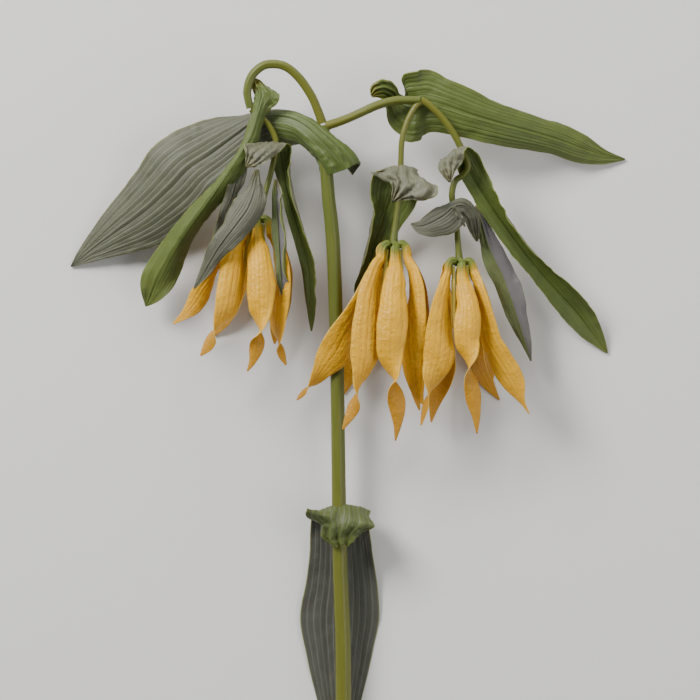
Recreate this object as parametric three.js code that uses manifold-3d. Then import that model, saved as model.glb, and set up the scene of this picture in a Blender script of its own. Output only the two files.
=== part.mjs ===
// A cut shoot of large-flowered bellwort, lying as it was picked: a forked stem with drooping
// yellow flowers of twisted tepals, and soft leaves whose bases close round the stem.
// Millimetres, +Z up. The shoot lies along Y with its cut end at -Y, and rests on z = 0.
import * as THREE from "three";
import { mergeVertices } from "three/addons/utils/BufferGeometryUtils.js";
import Module from "manifold-3d";

const wasm = await Module();
wasm.setup();

// ---- Driving dimensions ----

const STEM_RADIUS = 1.75; // main stem below the fork
const CUT_RADIUS = 2.05; // main stem at its cut end
const BRANCH_RADIUS = 1.1;
const PEDICEL_RADIUS = 0.72;
const RECEPTACLE_RADIUS = 1.25; // swelling of the flower stalk under the flower
const LEAF_THICKNESS = 0.9;
const TEPAL_THICKNESS = 0.85;
const GAP = 0.3; // air between neighbouring pieces
const STEM_SIDES = 8;
const LEAF_ACROSS = 6; // strips across a leaf
const TEPAL_ACROSS = 4; // strips across a tepal

// A tepal's pouch: distance from the flower's axis, place along it, half width and curl.
const POUCH = [
  [1.5, 0.3, 1.0, -60],
  [2.3, 0.2, 1.7, -100],
  [2.9, -0.9, 2.1, -120],
  [3.1, -2.2, 2.0, -110],
  [3.6, -3.6, 2.1, -90],
];
const STAMEN_COUNT = 6;
const STAMEN_RING = 1.9; // filaments stand on this radius round the pistil
const STAMEN_SPREAD = 0.7; // how much further out the anther tips stand
const ANTHER_RADIUS = 0.55;
const FILAMENT_RADIUS = 0.32;
const OVARY_RADIUS = 1.15;
const STYLE_RADIUS = 0.4;
const FLOWER_HEIGHT = 14; // height of the flowers' axes over the ground

// ---- Materials ----

const finish = (color, roughness) =>
  new THREE.MeshStandardMaterial({ color, roughness, metalness: 0 });

const STEM_GREEN = finish("#8a9a4a", 0.5);
const LEAF_GREEN = finish("#6d7d3c", 0.6);
const LEAF_GREY = finish("#8b8d78", 0.65);
const TEPAL_YELLOW = finish("#e0aa2c", 0.55);
const ANTHER_YELLOW = finish("#cfb03e", 0.6);
const PISTIL_GREEN = finish("#a9a84a", 0.55);

// ---- Interpolation and frames ----

const UP = new THREE.Vector3(0, 0, 1);
const radians = (degrees) => (degrees * Math.PI) / 180;
const pair = (value) => (Array.isArray(value) ? value : [value, value]);

// One value between b and c of four evenly spaced ones, on a smooth curve.
function between(a, b, c, d, t) {
  const slopeIn = (c - a) / 2;
  const slopeOut = (d - b) / 2;
  const cubic = 2 * b - 2 * c + slopeIn + slopeOut;
  const square = 3 * c - 3 * b - 2 * slopeIn - slopeOut;
  return ((cubic * t + square) * t + slopeIn) * t + b;
}

// Rows of numbers read at evenly spaced steps, from the first row to the last.
function smoothRows(rows, steps) {
  const last = rows.length - 1;
  return Array.from({ length: steps + 1 }, (_, step) => {
    const place = (step / steps) * last;
    const i = Math.min(Math.floor(place), last - 1);
    const near = [Math.max(i - 1, 0), i, i + 1, Math.min(i + 2, last)].map((k) => rows[k]);
    return rows[i].map((_, k) => between(...near.map((row) => row[k]), place - i));
  });
}

// The direction of the path at each of its points.
function tangentsOf(points) {
  return points.map((_, i) => {
    const before = points[Math.max(i - 1, 0)];
    const after = points[Math.min(i + 1, points.length - 1)];
    return after.clone().sub(before).normalize();
  });
}

// ---- Closed bodies ----

// A solid from rows of points that close round: each row is one ring of the body.
function bodyFromRings(rings, capTriangles) {
  const size = rings[0].length;
  const corners = rings.flat();
  const triangles = [];
  for (let r = 0; r + 1 < rings.length; r += 1) {
    for (let k = 0; k < size; k += 1) {
      const a = r * size + k;
      const b = r * size + ((k + 1) % size);
      triangles.push([a, b, b + size], [a, b + size, a + size]);
    }
  }
  const end = (rings.length - 1) * size;
  for (const [a, b, c] of capTriangles) {
    triangles.push([a, c, b], [end + a, end + b, end + c]);
  }
  return solidFrom(corners, triangles);
}

function solidFrom(corners, triangles) {
  const geometry = new THREE.BufferGeometry().setFromPoints(corners);
  geometry.setIndex(triangles.flat());
  const merged = mergeVertices(geometry, 1e-3);
  const vertProperties = merged.attributes.position.array;
  const kept = [];
  for (let i = 0; i < merged.index.count; i += 3) {
    const [a, b, c] = [0, 1, 2].map((k) => merged.index.getX(i + k));
    if (a !== b && b !== c && c !== a) kept.push(a, b, c);
  }
  const build = (order) =>
    new wasm.Manifold(
      new wasm.Mesh({ numProp: 3, vertProperties, triVerts: new Uint32Array(order) }),
    );
  const body = build(kept);
  if (body.volume() > 0) return body;
  return build(kept.reverse());
}

// A stem: rows of x, y, z and radius.
function stemBody(rows, { steps = rows.length - 1, grow = 0 } = {}) {
  const path = smoothRows(rows, steps);
  const points = path.map(([x, y, z]) => new THREE.Vector3(x, y, z));
  const tangents = tangentsOf(points);
  points[0].addScaledVector(tangents[0], -grow);
  points[steps].addScaledVector(tangents[steps], grow);
  const rings = points.map((point, i) => {
    const side = new THREE.Vector3().crossVectors(tangents[i], UP).normalize();
    const normal = new THREE.Vector3().crossVectors(side, tangents[i]);
    return Array.from({ length: STEM_SIDES }, (_, k) => {
      const angle = (2 * Math.PI * (k + 0.5)) / STEM_SIDES;
      const corner = point
        .clone()
        .addScaledVector(side, Math.cos(angle) * (path[i][3] + grow))
        .addScaledVector(normal, Math.sin(angle) * (path[i][3] + grow));
      if (grow === 0) corner.z = Math.max(corner.z, 0);
      return corner;
    });
  });
  const cap = Array.from({ length: STEM_SIDES - 2 }, (_, k) => [0, k + 1, k + 2]);
  return bodyFromRings(rings, cap);
}

// The points across one half of a blade, from the midrib out, as [sideways, outward] pairs.
function halfSection(width, fold, curl, strips) {
  const section = [[0, 0]];
  for (let k = 1; k <= strips; k += 1) {
    const angle = radians(fold + (curl * (k - 0.5)) / strips);
    const [x, y] = section[k - 1];
    const stride = width / strips;
    section.push([x + Math.cos(angle) * stride, y + Math.sin(angle) * stride]);
  }
  return section;
}

// A leaf or tepal: rows of x, y, z, half width, roll, fold, curl and sweep, from base to tip.
// Roll turns the blade about its midrib, fold tilts its halves off the midrib, curl bends them
// and sweep draws their margins back towards the base. A pair of values is for the left and
// the right half. `across` is the direction of the
// left half where the blade climbs over the stem; without it the blade lies across the Z axis.
function bladeBody(rows, { strips, thickness, across, grow = 0 }) {
  const flat = rows.map(([x, y, z, width, roll = 0, fold = 0, curl = 0, sweep = 0]) => [
    ...[x, y, z, roll],
    ...pair(width),
    ...pair(fold),
    ...pair(curl),
    ...pair(sweep),
  ]);
  const points = flat.map(([x, y, z]) => new THREE.Vector3(x, y, z));
  const tangents = tangentsOf(points);
  const last = points.length - 1;
  points[0].addScaledVector(tangents[0], -grow);
  points[last].addScaledVector(tangents[last], grow);
  const half = thickness / 2 + grow;
  const rings = points.map((point, i) => {
    const tangent = tangents[i];
    const side = across
      ? across.clone().addScaledVector(tangent, -across.dot(tangent)).normalize()
      : new THREE.Vector3().crossVectors(tangent, UP).normalize();
    side.applyAxisAngle(tangent, radians(flat[i][3]));
    const normal = new THREE.Vector3().crossVectors(side, tangent);
    const halves = [0, 1].map((h) => {
      const width = Math.max(flat[i][4 + h], 0.15);
      const wide = width + grow;
      return halfSection(wide, flat[i][6 + h], (flat[i][8 + h] * wide) / width, strips / 2);
    });
    const section = [
      ...halves[0].slice(1).reverse(),
      ...halves[1].map(([x, y]) => [-x, y]),
    ];
    const strip = strips / 2;
    const back = section.map((_, k) => {
      const h = k < strip ? 0 : 1;
      return flat[i][10 + h] * flat[i][4 + h] * Math.abs(k / strip - 1) ** 1.5;
    });
    const skin = (offset) =>
      section.map(([x, y], k) => {
        const [ax, ay] = section[Math.max(k - 1, 0)];
        const [bx, by] = section[Math.min(k + 1, section.length - 1)];
        const length = Math.hypot(bx - ax, by - ay);
        const across2 = x + (offset * (by - ay)) / length;
        const outward = y + (offset * (ax - bx)) / length;
        return point
          .clone()
          .addScaledVector(side, across2)
          .addScaledVector(normal, outward)
          .addScaledVector(tangent, -back[k]);
      });
    const upper = skin(half);
    const lower = skin(-half);
    if (grow === 0) {
      upper.forEach((corner, k) => {
        const raised = corner.z >= lower[k].z;
        corner.z = Math.max(corner.z, raised ? thickness : 0);
        lower[k].z = Math.max(lower[k].z, raised ? 0 : thickness);
      });
    }
    return [...upper, ...lower.reverse()];
  });
  const size = rings[0].length;
  const cap = [];
  for (let k = 0; k + 1 < size / 2; k += 1) {
    cap.push([k, k + 1, size - 2 - k], [k, size - 2 - k, size - 1 - k]);
  }
  return bodyFromRings(rings, cap);
}

// A round body of rows of distance along `axis` and radius, starting at `start`.
function roundBody(start, axis, rows, grow = 0) {
  const path = rows.map(([along, radius]) => {
    const point = start.clone().addScaledVector(axis, along);
    return [point.x, point.y, point.z, radius];
  });
  return stemBody(path, { grow });
}

// ---- The assembly: each new piece is cut back where an earlier one passes ----

const shoot = new THREE.Group();
shoot.name = "bellwort";
const placed = [];

const apart = (a, b) =>
  [0, 1, 2].some((k) => a.max[k] < b.min[k] || b.max[k] < a.min[k]);

// Adds a piece. `make(grow)` builds its body, or the body with `grow` of air round it.
function place(name, material, make) {
  let body = make(0);
  for (const other of placed) {
    if (apart(body.boundingBox(), other.room.boundingBox())) continue;
    const parts = body.subtract(other.room).decompose();
    body = parts.reduce((best, part) => (part.volume() > best.volume() ? part : best));
  }
  placed.push({ room: make(GAP) });
  const { vertProperties, triVerts } = body.getMesh();
  const geometry = new THREE.BufferGeometry();
  geometry.setAttribute("position", new THREE.BufferAttribute(vertProperties, 3));
  geometry.setIndex(new THREE.BufferAttribute(triVerts, 1));
  geometry.computeVertexNormals();
  const mesh = new THREE.Mesh(geometry, material);
  mesh.name = name;
  shoot.add(mesh);
}

const placeStem = (name, rows) =>
  place(name, STEM_GREEN, (grow) => stemBody(rows, { grow }));

function placeLeaf(name, material, rows, across) {
  const options = { strips: LEAF_ACROSS, thickness: LEAF_THICKNESS, across };
  place(name, material, (grow) => bladeBody(rows, { ...options, grow }));
}

// ---- Stems ----

placeStem("main_stem", [
  [-0.9, -96.3, 1.9, CUT_RADIUS],
  [-1.1, -74, 3.4, 2.0],
  [-1.2, -51.3, 5.1, 1.95],
  [-2.0, -28.8, 6.7, 1.85],
  [-2.4, -1.3, 8.5, STEM_RADIUS],
  [-2.8, 23.8, 10.2, STEM_RADIUS],
  [-3.6, 48.8, 11.9, STEM_RADIUS],
  [-4.9, 63, 13, 1.65],
  [-6.1, 79.9, 14, 1.5],
]);
placeStem("left_branch", [
  [-6.5, 80.9, 14.1, 1.15],
  [-7.4, 83.3, 14.4, BRANCH_RADIUS],
  [-9.1, 87.2, 14.8, BRANCH_RADIUS],
  [-11.9, 91.3, 15.2, BRANCH_RADIUS],
  [-15.0, 94.1, 15.6, BRANCH_RADIUS],
  [-18.1, 95.0, 15.8, BRANCH_RADIUS],
  [-21.2, 94.5, 15.8, BRANCH_RADIUS],
  [-23.9, 92.0, 15.6, BRANCH_RADIUS],
  [-25.0, 88.2, 15.3, 1.05],
  [-24.4, 84.6, 15.0, 0.95],
]);
placeStem("left_pedicel", [
  [-23.7, 83.6, 14.8, 0.8],
  [-22.1, 82.2, 14.6, 0.75],
  [-20.2, 80.6, 14.4, PEDICEL_RADIUS],
  [-18.5, 77.9, 14.2, PEDICEL_RADIUS],
  [-17.8, 74.8, 14.1, PEDICEL_RADIUS],
  [-18.9, 69.0, 14, PEDICEL_RADIUS],
  [-20.7, 62.6, 14, PEDICEL_RADIUS],
  [-22.2, 57.4, 14, 0.95],
  [-22.6, 55.8, 14, RECEPTACLE_RADIUS],
]);
placeStem("right_branch", [
  [-5.0, 79.9, 14.1, 1.15],
  [-0.6, 81.4, 14.2, BRANCH_RADIUS],
  [3.1, 83.0, 14.3, BRANCH_RADIUS],
  [7.6, 85.0, 14.4, BRANCH_RADIUS],
  [12.1, 86.1, 14.5, BRANCH_RADIUS],
  [17.6, 86.2, 14.5, 1.0],
]);
placeStem("middle_pedicel", [
  [18.1, 85.7, 14.4, 0.75],
  [16.7, 84.2, 14.6, PEDICEL_RADIUS],
  [14.9, 80.7, 14.7, PEDICEL_RADIUS],
  [13.6, 76.0, 14.6, PEDICEL_RADIUS],
  [13.3, 69.8, 14.4, PEDICEL_RADIUS],
  [12.8, 61.3, 14.1, PEDICEL_RADIUS],
  [12.0, 55.0, 14, 0.8],
  [11.6, 51.3, 14, 1.0],
  [11.6, 49.5, 14, RECEPTACLE_RADIUS],
]);
placeStem("right_branchlet", [
  [18.9, 86.0, 14.4, 0.9],
  [20.8, 84.6, 14.6, 0.85],
  [23.6, 81.8, 14.8, 0.85],
  [26.6, 77.6, 14.9, 0.85],
  [28.9, 72.9, 14.8, 0.85],
  [30.0, 69.6, 14.6, 0.85],
  [28.9, 67.5, 14.5, 0.8],
  [26.9, 65.9, 14.4, 0.8],
  [26.1, 62.8, 14.2, 0.8],
  [26.4, 59.8, 14.1, 0.8],
]);
placeStem("right_pedicel", [
  [26.6, 59.2, 14.1, 0.75],
  [27.2, 56.0, 14, PEDICEL_RADIUS],
  [27.5, 52.0, 14, PEDICEL_RADIUS],
  [27.8, 48.0, 14, 0.85],
  [28.1, 45.3, 14, RECEPTACLE_RADIUS],
]);

// ---- Flowers ----

// A tepal's rows are measured from the end of its flower stalk, with the flower hanging to -Y.
// The knobby pouch at a tepal's base, facing the way its first row faces.
function pouchRows([dx, , dz, , roll]) {
  const out = Math.hypot(dx, dz);
  return POUCH.map(([ring, dy, width, curl]) => [
    ...[(dx / out) * ring, dy, (dz / out) * ring],
    ...[width, roll, 0, curl],
  ]);
}

function placeFlower(name, x, y, lean, tepals) {
  const base = new THREE.Vector3(x, y, FLOWER_HEIGHT);
  const axis = new THREE.Vector3(lean, -1, 0).normalize();
  const sideways = new THREE.Vector3().crossVectors(axis, UP);
  const pistil = [
    [1.0, 0.7],
    [2.2, OVARY_RADIUS],
    [5.2, OVARY_RADIUS],
    [7.2, STYLE_RADIUS],
    [12.0, STYLE_RADIUS],
    [15.5, 0.75],
  ];
  place(`${name}_pistil`, PISTIL_GREEN, (grow) => roundBody(base, axis, pistil, grow));
  const stamen = [
    [0.6, FILAMENT_RADIUS],
    [4.0, FILAMENT_RADIUS],
    [4.8, ANTHER_RADIUS],
    [14.6, ANTHER_RADIUS],
    [16.0, 0.15],
  ];
  for (let k = 0; k < STAMEN_COUNT; k += 1) {
    const angle = (2 * Math.PI * (k + 0.5)) / STAMEN_COUNT;
    const outward = sideways.clone().multiplyScalar(Math.cos(angle));
    outward.addScaledVector(UP, Math.sin(angle));
    const foot = base.clone().addScaledVector(outward, STAMEN_RING);
    const along = axis.clone().multiplyScalar(14).addScaledVector(outward, STAMEN_SPREAD);
    along.normalize();
    place(`${name}_stamen_${k + 1}`, ANTHER_YELLOW, (grow) =>
      roundBody(foot, along, stamen, grow),
    );
  }
  tepals.forEach(([first, ...rest], k) => {
    const standing = [...pouchRows(first), ...rest].map(([dx, dy, dz, ...shape]) => [
      ...[x + dx, y + dy, FLOWER_HEIGHT + dz],
      ...shape,
    ]);
    const options = { strips: TEPAL_ACROSS, thickness: TEPAL_THICKNESS };
    place(`${name}_tepal_${k + 1}`, TEPAL_YELLOW, (grow) =>
      bladeBody(standing, { ...options, grow }),
    );
  });
}

placeFlower("left", -22.6, 55.8, -0.1, [
  [
    [0, -1.8, 3.2, 1.5, 0, 0, -60],
    [0.3, -5.8, 5.2, 2.8, 0, 0, -50],
    [0.8, -10, 6.6, 3.4, 0, 0, -45],
    [1, -14.5, 7.4, 3.8, 0, 0, -40],
    [1, -18.8, 7.6, 3.6, 0, 0, -35],
    [1, -22, 7.4, 3.0, 10, 0, -30],
    [1, -24.5, 7.0, 2.4, 40, 0, -20],
    [0.9, -27.3, 6.5, 2.0, 90, 0, 0],
    [0.4, -30, 6, 2.0, 150, 0, 15],
    [-0.3, -32.5, 5.5, 1.6, 175, 0, 20],
    [-1.1, -35, 5, 0.9, 180, 0, 20],
    [-2.3, -37.3, 4.5, 0.2, 180, 0, 0],
  ],
  [
    [-2.4, -1.9, 2.0, 1.5, -50, 0, -60],
    [-4.2, -5.8, 3.8, 2.8, -40, 0, -50],
    [-5.2, -10, 5, 3.6, -30, 0, -45],
    [-5.8, -14, 5.6, 3.8, -25, 0, -40],
    [-6.5, -18.3, 5.8, 3.6, -25, 0, -35],
    [-7.3, -22, 5.5, 3.2, -30, 0, -30],
    [-8.8, -25, 5, 2.6, -50, 0, -20],
    [-10.3, -27.3, 4.5, 2.1, -90, 0, 0],
    [-11.3, -29.5, 4, 1.9, -140, 0, 10],
    [-12.5, -31.5, 3.5, 1.3, -160, 0, 10],
    [-14, -33.5, 3, 0.2, -170, 0, 0],
  ],
  [
    [-2.9, -2.4, -0.6, 1.4, -95, 0, -60],
    [-5.5, -6, -1, 2.4, -90, 0, -50],
    [-8.3, -9.5, -0.8, 2.4, -80, 0, -50],
    [-10.8, -13, -0.4, 2.2, -60, 0, -50],
    [-12.8, -16, -0.6, 2.4, -30, 0, -40],
    [-14.4, -18.6, -1.2, 2.6, -10, 0, -30],
    [-16.1, -21, -2, 2.3, 0, 0, -20],
    [-18.4, -23.3, -3, 1.2, 10, 0, -10],
    [-21.3, -25.5, -4, 0.2, 20, 0, 0],
  ],
  [
    [2.4, -1.9, 1.8, 1.5, 55, 0, -60],
    [4.4, -5.8, 2.6, 2.6, 65, 0, -50],
    [5.6, -10.8, 3.2, 3.2, 65, 0, -45],
    [5.8, -15.8, 3.2, 3.4, 55, 0, -40],
    [5.2, -20.8, 3, 3.2, 40, 0, -30],
    [5, -24.5, 2.8, 2.8, 40, 0, -20],
    [5.2, -27.8, 2.6, 2.2, 60, 0, -10],
    [5.5, -30.3, 2.3, 1.7, 90, 0, 0],
    [5.8, -32, 2, 1.3, 130, 0, 0],
    [6.4, -33.8, 2, 0.9, 150, 0, 0],
    [7.3, -35.8, 2, 0.2, 160, 0, 0],
  ],
  [
    [2.6, -2.3, -1.6, 1.5, 120, 0, -60],
    [4.6, -6.8, -3.4, 2.8, 125, 0, -50],
    [5.6, -12, -5, 3.4, 130, 0, -45],
    [5.6, -17, -6.2, 3.6, 130, 0, -40],
    [5, -22, -7, 3.2, 135, 0, -35],
    [4.4, -26, -7.4, 2.2, 140, 0, -30],
    [4.2, -30.5, -7.6, 0.2, 150, 0, 0],
  ],
  [
    [-1, -2.2, -3, 1.5, 190, 0, -60],
    [-3, -7, -6.4, 2.8, 195, 0, -50],
    [-5, -13, -9.4, 3.6, 200, 0, -40],
    [-7, -19, -11.4, 3.6, 200, 0, -30],
    [-9, -24, -12.8, 2.4, 195, 0, -20],
    [-11.3, -28.5, -13.5, 0.2, 190, 0, 0],
  ],
]);

placeFlower("middle", 11.6, 49.5, -0.05, [
  [
    [0.2, -1.9, 3.2, 1.8, 0, 0, -70],
    [0.3, -5, 4.8, 2.4, 0, 0, -60],
    [0.1, -8, 6, 3.0, 0, 0, -50],
    [-0.3, -12, 7.2, 3.6, 0, 0, -45],
    [-0.5, -17, 8, 4.0, 0, 0, -40],
    [-0.8, -22, 8, 3.9, 0, 0, -35],
    [-1, -25.8, 7.5, 3.4, 0, 0, -30],
    [-0.8, -28.8, 7, 2.8, 20, 0, -20],
    [-0.5, -31, 6.5, 2.4, 50, 0, -10],
    [0, -33.3, 6, 2.2, 90, 0, 0],
    [0.2, -36, 6, 2.2, 140, 0, 10],
    [0.6, -39, 5.5, 2.2, 170, 0, 20],
    [0.8, -41.8, 5, 1.8, 180, 0, 20],
    [0.8, -44.5, 4.5, 1.0, 180, 0, 10],
    [0.3, -48.3, 4, 0.2, 180, 0, 0],
  ],
  [
    [-2.4, -2, 2, 1.7, -50, 0, -70],
    [-3.8, -5, 3.2, 2.4, -45, 0, -60],
    [-4.8, -8.3, 4.2, 3.0, -40, 0, -50],
    [-5.8, -12.5, 5.2, 3.6, -30, 0, -45],
    [-6.3, -17, 5.8, 3.8, -25, 0, -40],
    [-6.6, -21.3, 6, 4.0, -20, 0, -35],
    [-7, -27, 6, 3.9, -20, 0, -30],
    [-7.8, -30.8, 5.6, 3.0, -30, 0, -20],
    [-8.8, -34, 5.2, 2.2, -60, 0, -10],
    [-9.3, -36.8, 4.7, 1.9, -100, 0, 0],
    [-10, -39.3, 4.3, 1.9, -140, 0, 10],
    [-10.8, -41.5, 4, 1.5, -160, 0, 10],
    [-12.8, -45.5, 3.5, 0.2, -170, 0, 0],
  ],
  [
    [-3.2, -2.8, -0.4, 1.6, -95, 0, -70],
    [-5.8, -7, -0.6, 2.6, -85, 0, -55],
    [-7.6, -12, -0.4, 3.2, -75, 0, -50],
    [-9.6, -17, 0, 3.8, -55, 0, -40],
    [-12.3, -22, 0.2, 4.2, -30, 0, -30],
    [-14.3, -26, 0, 4.4, -15, 0, -20],
    [-16.5, -28.8, -0.6, 3.6, -10, 0, -10],
    [-18.3, -31.3, -1.2, 2.4, -20, 0, 0],
    [-20.3, -34, -1.8, 1.6, -60, 0, 0],
    [-22.3, -36, -2.4, 1.2, -120, 0, 0],
    [-24.3, -38.3, -3, 0.2, -150, 0, 0],
  ],
  [
    [2.4, -2.2, 1.8, 1.7, 55, 0, -70],
    [4, -6.5, 2.4, 2.8, 60, 0, -55],
    [4.6, -11, 2.8, 3.4, 55, 0, -50],
    [4.6, -16, 3, 3.8, 45, 0, -40],
    [4.4, -21, 3, 3.8, 35, 0, -35],
    [4.6, -25, 2.8, 3.7, 25, 0, -30],
    [5, -28.5, 2.4, 3.4, 15, 0, -25],
    [5.2, -31.8, 2, 2.9, 10, 0, -20],
    [5.6, -35, 1.6, 2.0, 10, 0, -10],
    [6.4, -37.5, 1.2, 1.1, 20, 0, 0],
    [7.5, -39.5, 1, 0.2, 30, 0, 0],
  ],
  [
    [2.7, -2.6, -1.6, 1.6, 120, 0, -70],
    [4.5, -6.8, -3.2, 2.8, 125, 0, -55],
    [5.4, -11.5, -4.8, 3.5, 130, 0, -45],
    [5.8, -16.5, -6, 3.8, 130, 0, -40],
    [5.8, -21.5, -6.8, 3.6, 135, 0, -35],
    [5.6, -27, -7.4, 3.0, 140, 0, -25],
    [5.4, -32, -7.8, 2.2, 150, 0, -15],
    [5.8, -37, -8.2, 1.2, 160, 0, 0],
    [6.6, -41, -8.6, 0.2, 170, 0, 0],
  ],
  [
    [-1, -2.4, -3.1, 1.6, 190, 0, -70],
    [-2.8, -7, -5.2, 2.8, 195, 0, -50],
    [-4.6, -13, -7, 3.6, 195, 0, -40],
    [-6.6, -19, -9, 3.8, 195, 0, -30],
    [-8.8, -25, -11, 3.6, 190, 0, -20],
    [-10.5, -30, -12.4, 2.6, 185, 0, -10],
    [-11.5, -34, -13.2, 1.2, 185, 0, 0],
    [-12.5, -37, -13.5, 0.2, 180, 0, 0],
  ],
]);

placeFlower("right", 28.1, 45.3, 0.05, [
  [
    [0.2, -2.2, 3.2, 1.7, 10, 0, -65],
    [0.6, -5.8, 5, 2.4, 10, 0, -55],
    [1.4, -9.5, 6.4, 3.0, 10, 0, -50],
    [1.7, -12.8, 7.2, 3.4, 5, 0, -40],
    [1.6, -16.5, 7.6, 3.5, 0, 0, -35],
    [1.5, -19.8, 7.4, 3.2, 0, 0, -30],
    [1.8, -22.8, 7, 2.6, 30, 0, -20],
    [2, -26, 6.5, 2.2, 90, 0, 0],
    [2.5, -29, 6.2, 2.1, 140, 0, 10],
    [3, -32, 5.8, 2.1, 170, 0, 20],
    [3.3, -34.8, 5.4, 1.8, 180, 0, 20],
    [3.8, -37.8, 5, 1.1, 180, 0, 10],
    [4, -42.3, 4.4, 0.2, 180, 0, 0],
  ],
  [
    [-2.4, -2.2, 1.8, 1.6, -55, 0, -65],
    [-3.2, -5.3, 2.8, 2.4, -50, 0, -55],
    [-4, -9, 3.8, 3.0, -45, 0, -50],
    [-4.5, -13, 4.6, 3.6, -35, 0, -40],
    [-4.8, -17, 5, 3.9, -25, 0, -35],
    [-5, -20.5, 5.2, 4.1, -15, 0, -30],
    [-5.5, -24, 5, 4.0, -10, 0, -25],
    [-6.5, -27, 4.6, 3.2, -15, 0, -15],
    [-7.3, -30, 4.2, 2.3, -40, 0, -5],
    [-8, -33, 3.8, 1.6, -90, 0, 0],
    [-8.8, -36, 3.4, 1.2, -130, 0, 0],
    [-9.8, -40.3, 3, 0.2, -150, 0, 0],
  ],
  [
    [2.5, -2.2, 1.4, 1.6, 60, 0, -65],
    [3.9, -6, 2, 2.6, 65, 0, -55],
    [5, -10.5, 2.4, 3.2, 60, 0, -45],
    [6, -15, 2.6, 3.3, 50, 0, -40],
    [7.2, -19.5, 2.6, 3.3, 35, 0, -35],
    [8.8, -22.5, 2.4, 3.3, 25, 0, -30],
    [10.4, -25, 2, 3.3, 15, 0, -25],
    [12, -27.4, 1.6, 3.2, 10, 0, -20],
    [13.3, -29.6, 1.2, 2.9, 10, 0, -10],
    [14.3, -31.8, 0.8, 2.0, 20, 0, 0],
    [15.5, -34.5, 0.4, 0.9, 40, 0, 0],
    [17.3, -37.5, 0, 0.2, 60, 0, 0],
  ],
  [
    [-2.5, -2.6, -1.6, 1.5, -120, 0, -65],
    [-3, -7, -4, 2.8, -130, 0, -50],
    [-3.2, -13, -6, 3.4, -135, 0, -45],
    [-3.2, -19, -7.2, 3.6, -140, 0, -35],
    [-3.4, -25, -7.8, 3.4, -150, 0, -25],
    [-4.4, -30, -8, 2.6, -160, 0, -15],
    [-6, -34.5, -8, 1.6, -170, 0, 0],
    [-7, -39.8, -7.8, 0.2, -180, 0, 0],
  ],
  [
    [2.8, -2.6, -1.8, 1.5, 115, 0, -65],
    [4.4, -6, -3, 2.6, 120, 0, -50],
    [5.4, -10.5, -4.2, 3.2, 125, 0, -45],
    [6.2, -15, -5.2, 3.4, 125, 0, -35],
    [7, -20, -6, 3.0, 130, 0, -30],
    [7.7, -24.5, -6.6, 2.0, 140, 0, -15],
    [8.5, -29, -7, 0.2, 150, 0, 0],
  ],
  [
    [0.4, -2.7, -3.2, 1.5, 180, 0, -65],
    [1.4, -8, -7, 2.8, 180, 0, -50],
    [2.5, -14, -10, 3.4, 175, 0, -40],
    [3.8, -20, -12, 3.4, 170, 0, -30],
    [5.5, -25, -13, 2.8, 170, 0, -15],
    [7.3, -29.5, -13.4, 1.8, 175, 0, 0],
    [10.5, -34.3, -13.5, 0.2, 180, 0, 0],
  ],
]);

// ---- Leaves ----

const DOWNHILL = new THREE.Vector3(-1, 0, 0); // left half of a leaf that hangs towards -Y
const SLANTED = new THREE.Vector3(-0.7, -0.7, 0); // of one that hangs towards +X and -Y

placeLeaf("left_pedicel_leaf", LEAF_GREEN, [
  [-25.2, 69.2, 19.4, 0.3, 0, 0, 0],
  [-24.0, 70.4, 19.6, [1.8, 1.8], 0, 0, 0],
  [-22.4, 72.0, 19.6, [4.4, 2.6], 0, 0, [10, 20]],
  [-20.8, 73.8, 18.6, [3.0, 3.4], 0, 0, [20, 40]],
  [-19.4, 75.2, 16.8, [2.6, 3.6], 0, 0, 40],
  [-18.0, 75.2, 14.6, [2.6, 3.4], 0, 0, 40],
  [-17.0, 73.4, 13.2, [2.8, 3.2], 0, 0, [20, 60]],
  [-16.2, 69.3, 13.4, [2.2, 3.2], 0, 0, [0, 110]],
  [-15.1, 63.8, 14.0, [1.9, 3.2], 0, 0, [-20, 130]],
  [-13.4, 57.5, 14.2, [1.8, 2.9], 0, 0, [-20, 130]],
  [-11.6, 51.3, 14.0, [1.7, 2.5], 0, 0, [-20, 120]],
  [-9.9, 44.5, 13.0, [1.8, 2.1], 0, 0, [-15, 90]],
  [-9.3, 38.3, 11.8, [1.6, 1.6], 0, 0, [-10, 60]],
  [-9.1, 32.5, 10.6, 0.9, 0, -10, 0],
  [-9.1, 28.5, 10, 0.2, 0, 0, 0],
], DOWNHILL);
placeLeaf("left_front_leaf", LEAF_GREY, [
  [-22.4, 68.3, 20.6, 0.5, 0, 0, 0],
  [-22.6, 66.3, 21.6, 1.3, 0, 0, -30],
  [-22.8, 63.8, 22.4, 2.6, 0, 0, -40],
  [-23.5, 61, 23, 3.6, 0, 0, -40],
  [-24.8, 58, 23.4, 4.2, 0, 0, -40],
  [-27.5, 54.3, 23.4, 3.9, 0, 0, -35],
  [-30.2, 51, 22.8, 2.9, 0, 0, -30],
  [-32.4, 48, 22, 2.3, 0, 0, -20],
  [-34.4, 44.8, 21, 1.8, 0, 0, -10],
  [-36.1, 42, 20, 1.1, 0, 0, 0],
  [-38.1, 39, 19, 0.2, 0, 0, 0],
]);
placeLeaf("left_back_leaf", LEAF_GREY, [
  [-24.9, 72.6, 15.8, 0.5, 0, 0, 0],
  [-26.6, 68.8, 16, 1.5, -20, 0, -20],
  [-27.9, 65, 16, 1.9, -25, 0, -20],
  [-29.1, 61.3, 15.8, 1.8, -30, 0, -20],
  [-30.9, 57.5, 15.4, 1.4, -30, 0, -10],
  [-32.6, 53.3, 14.8, 0.8, -30, 0, 0],
  [-34.1, 47.5, 14, 0.2, -30, 0, 0],
]);
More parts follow.
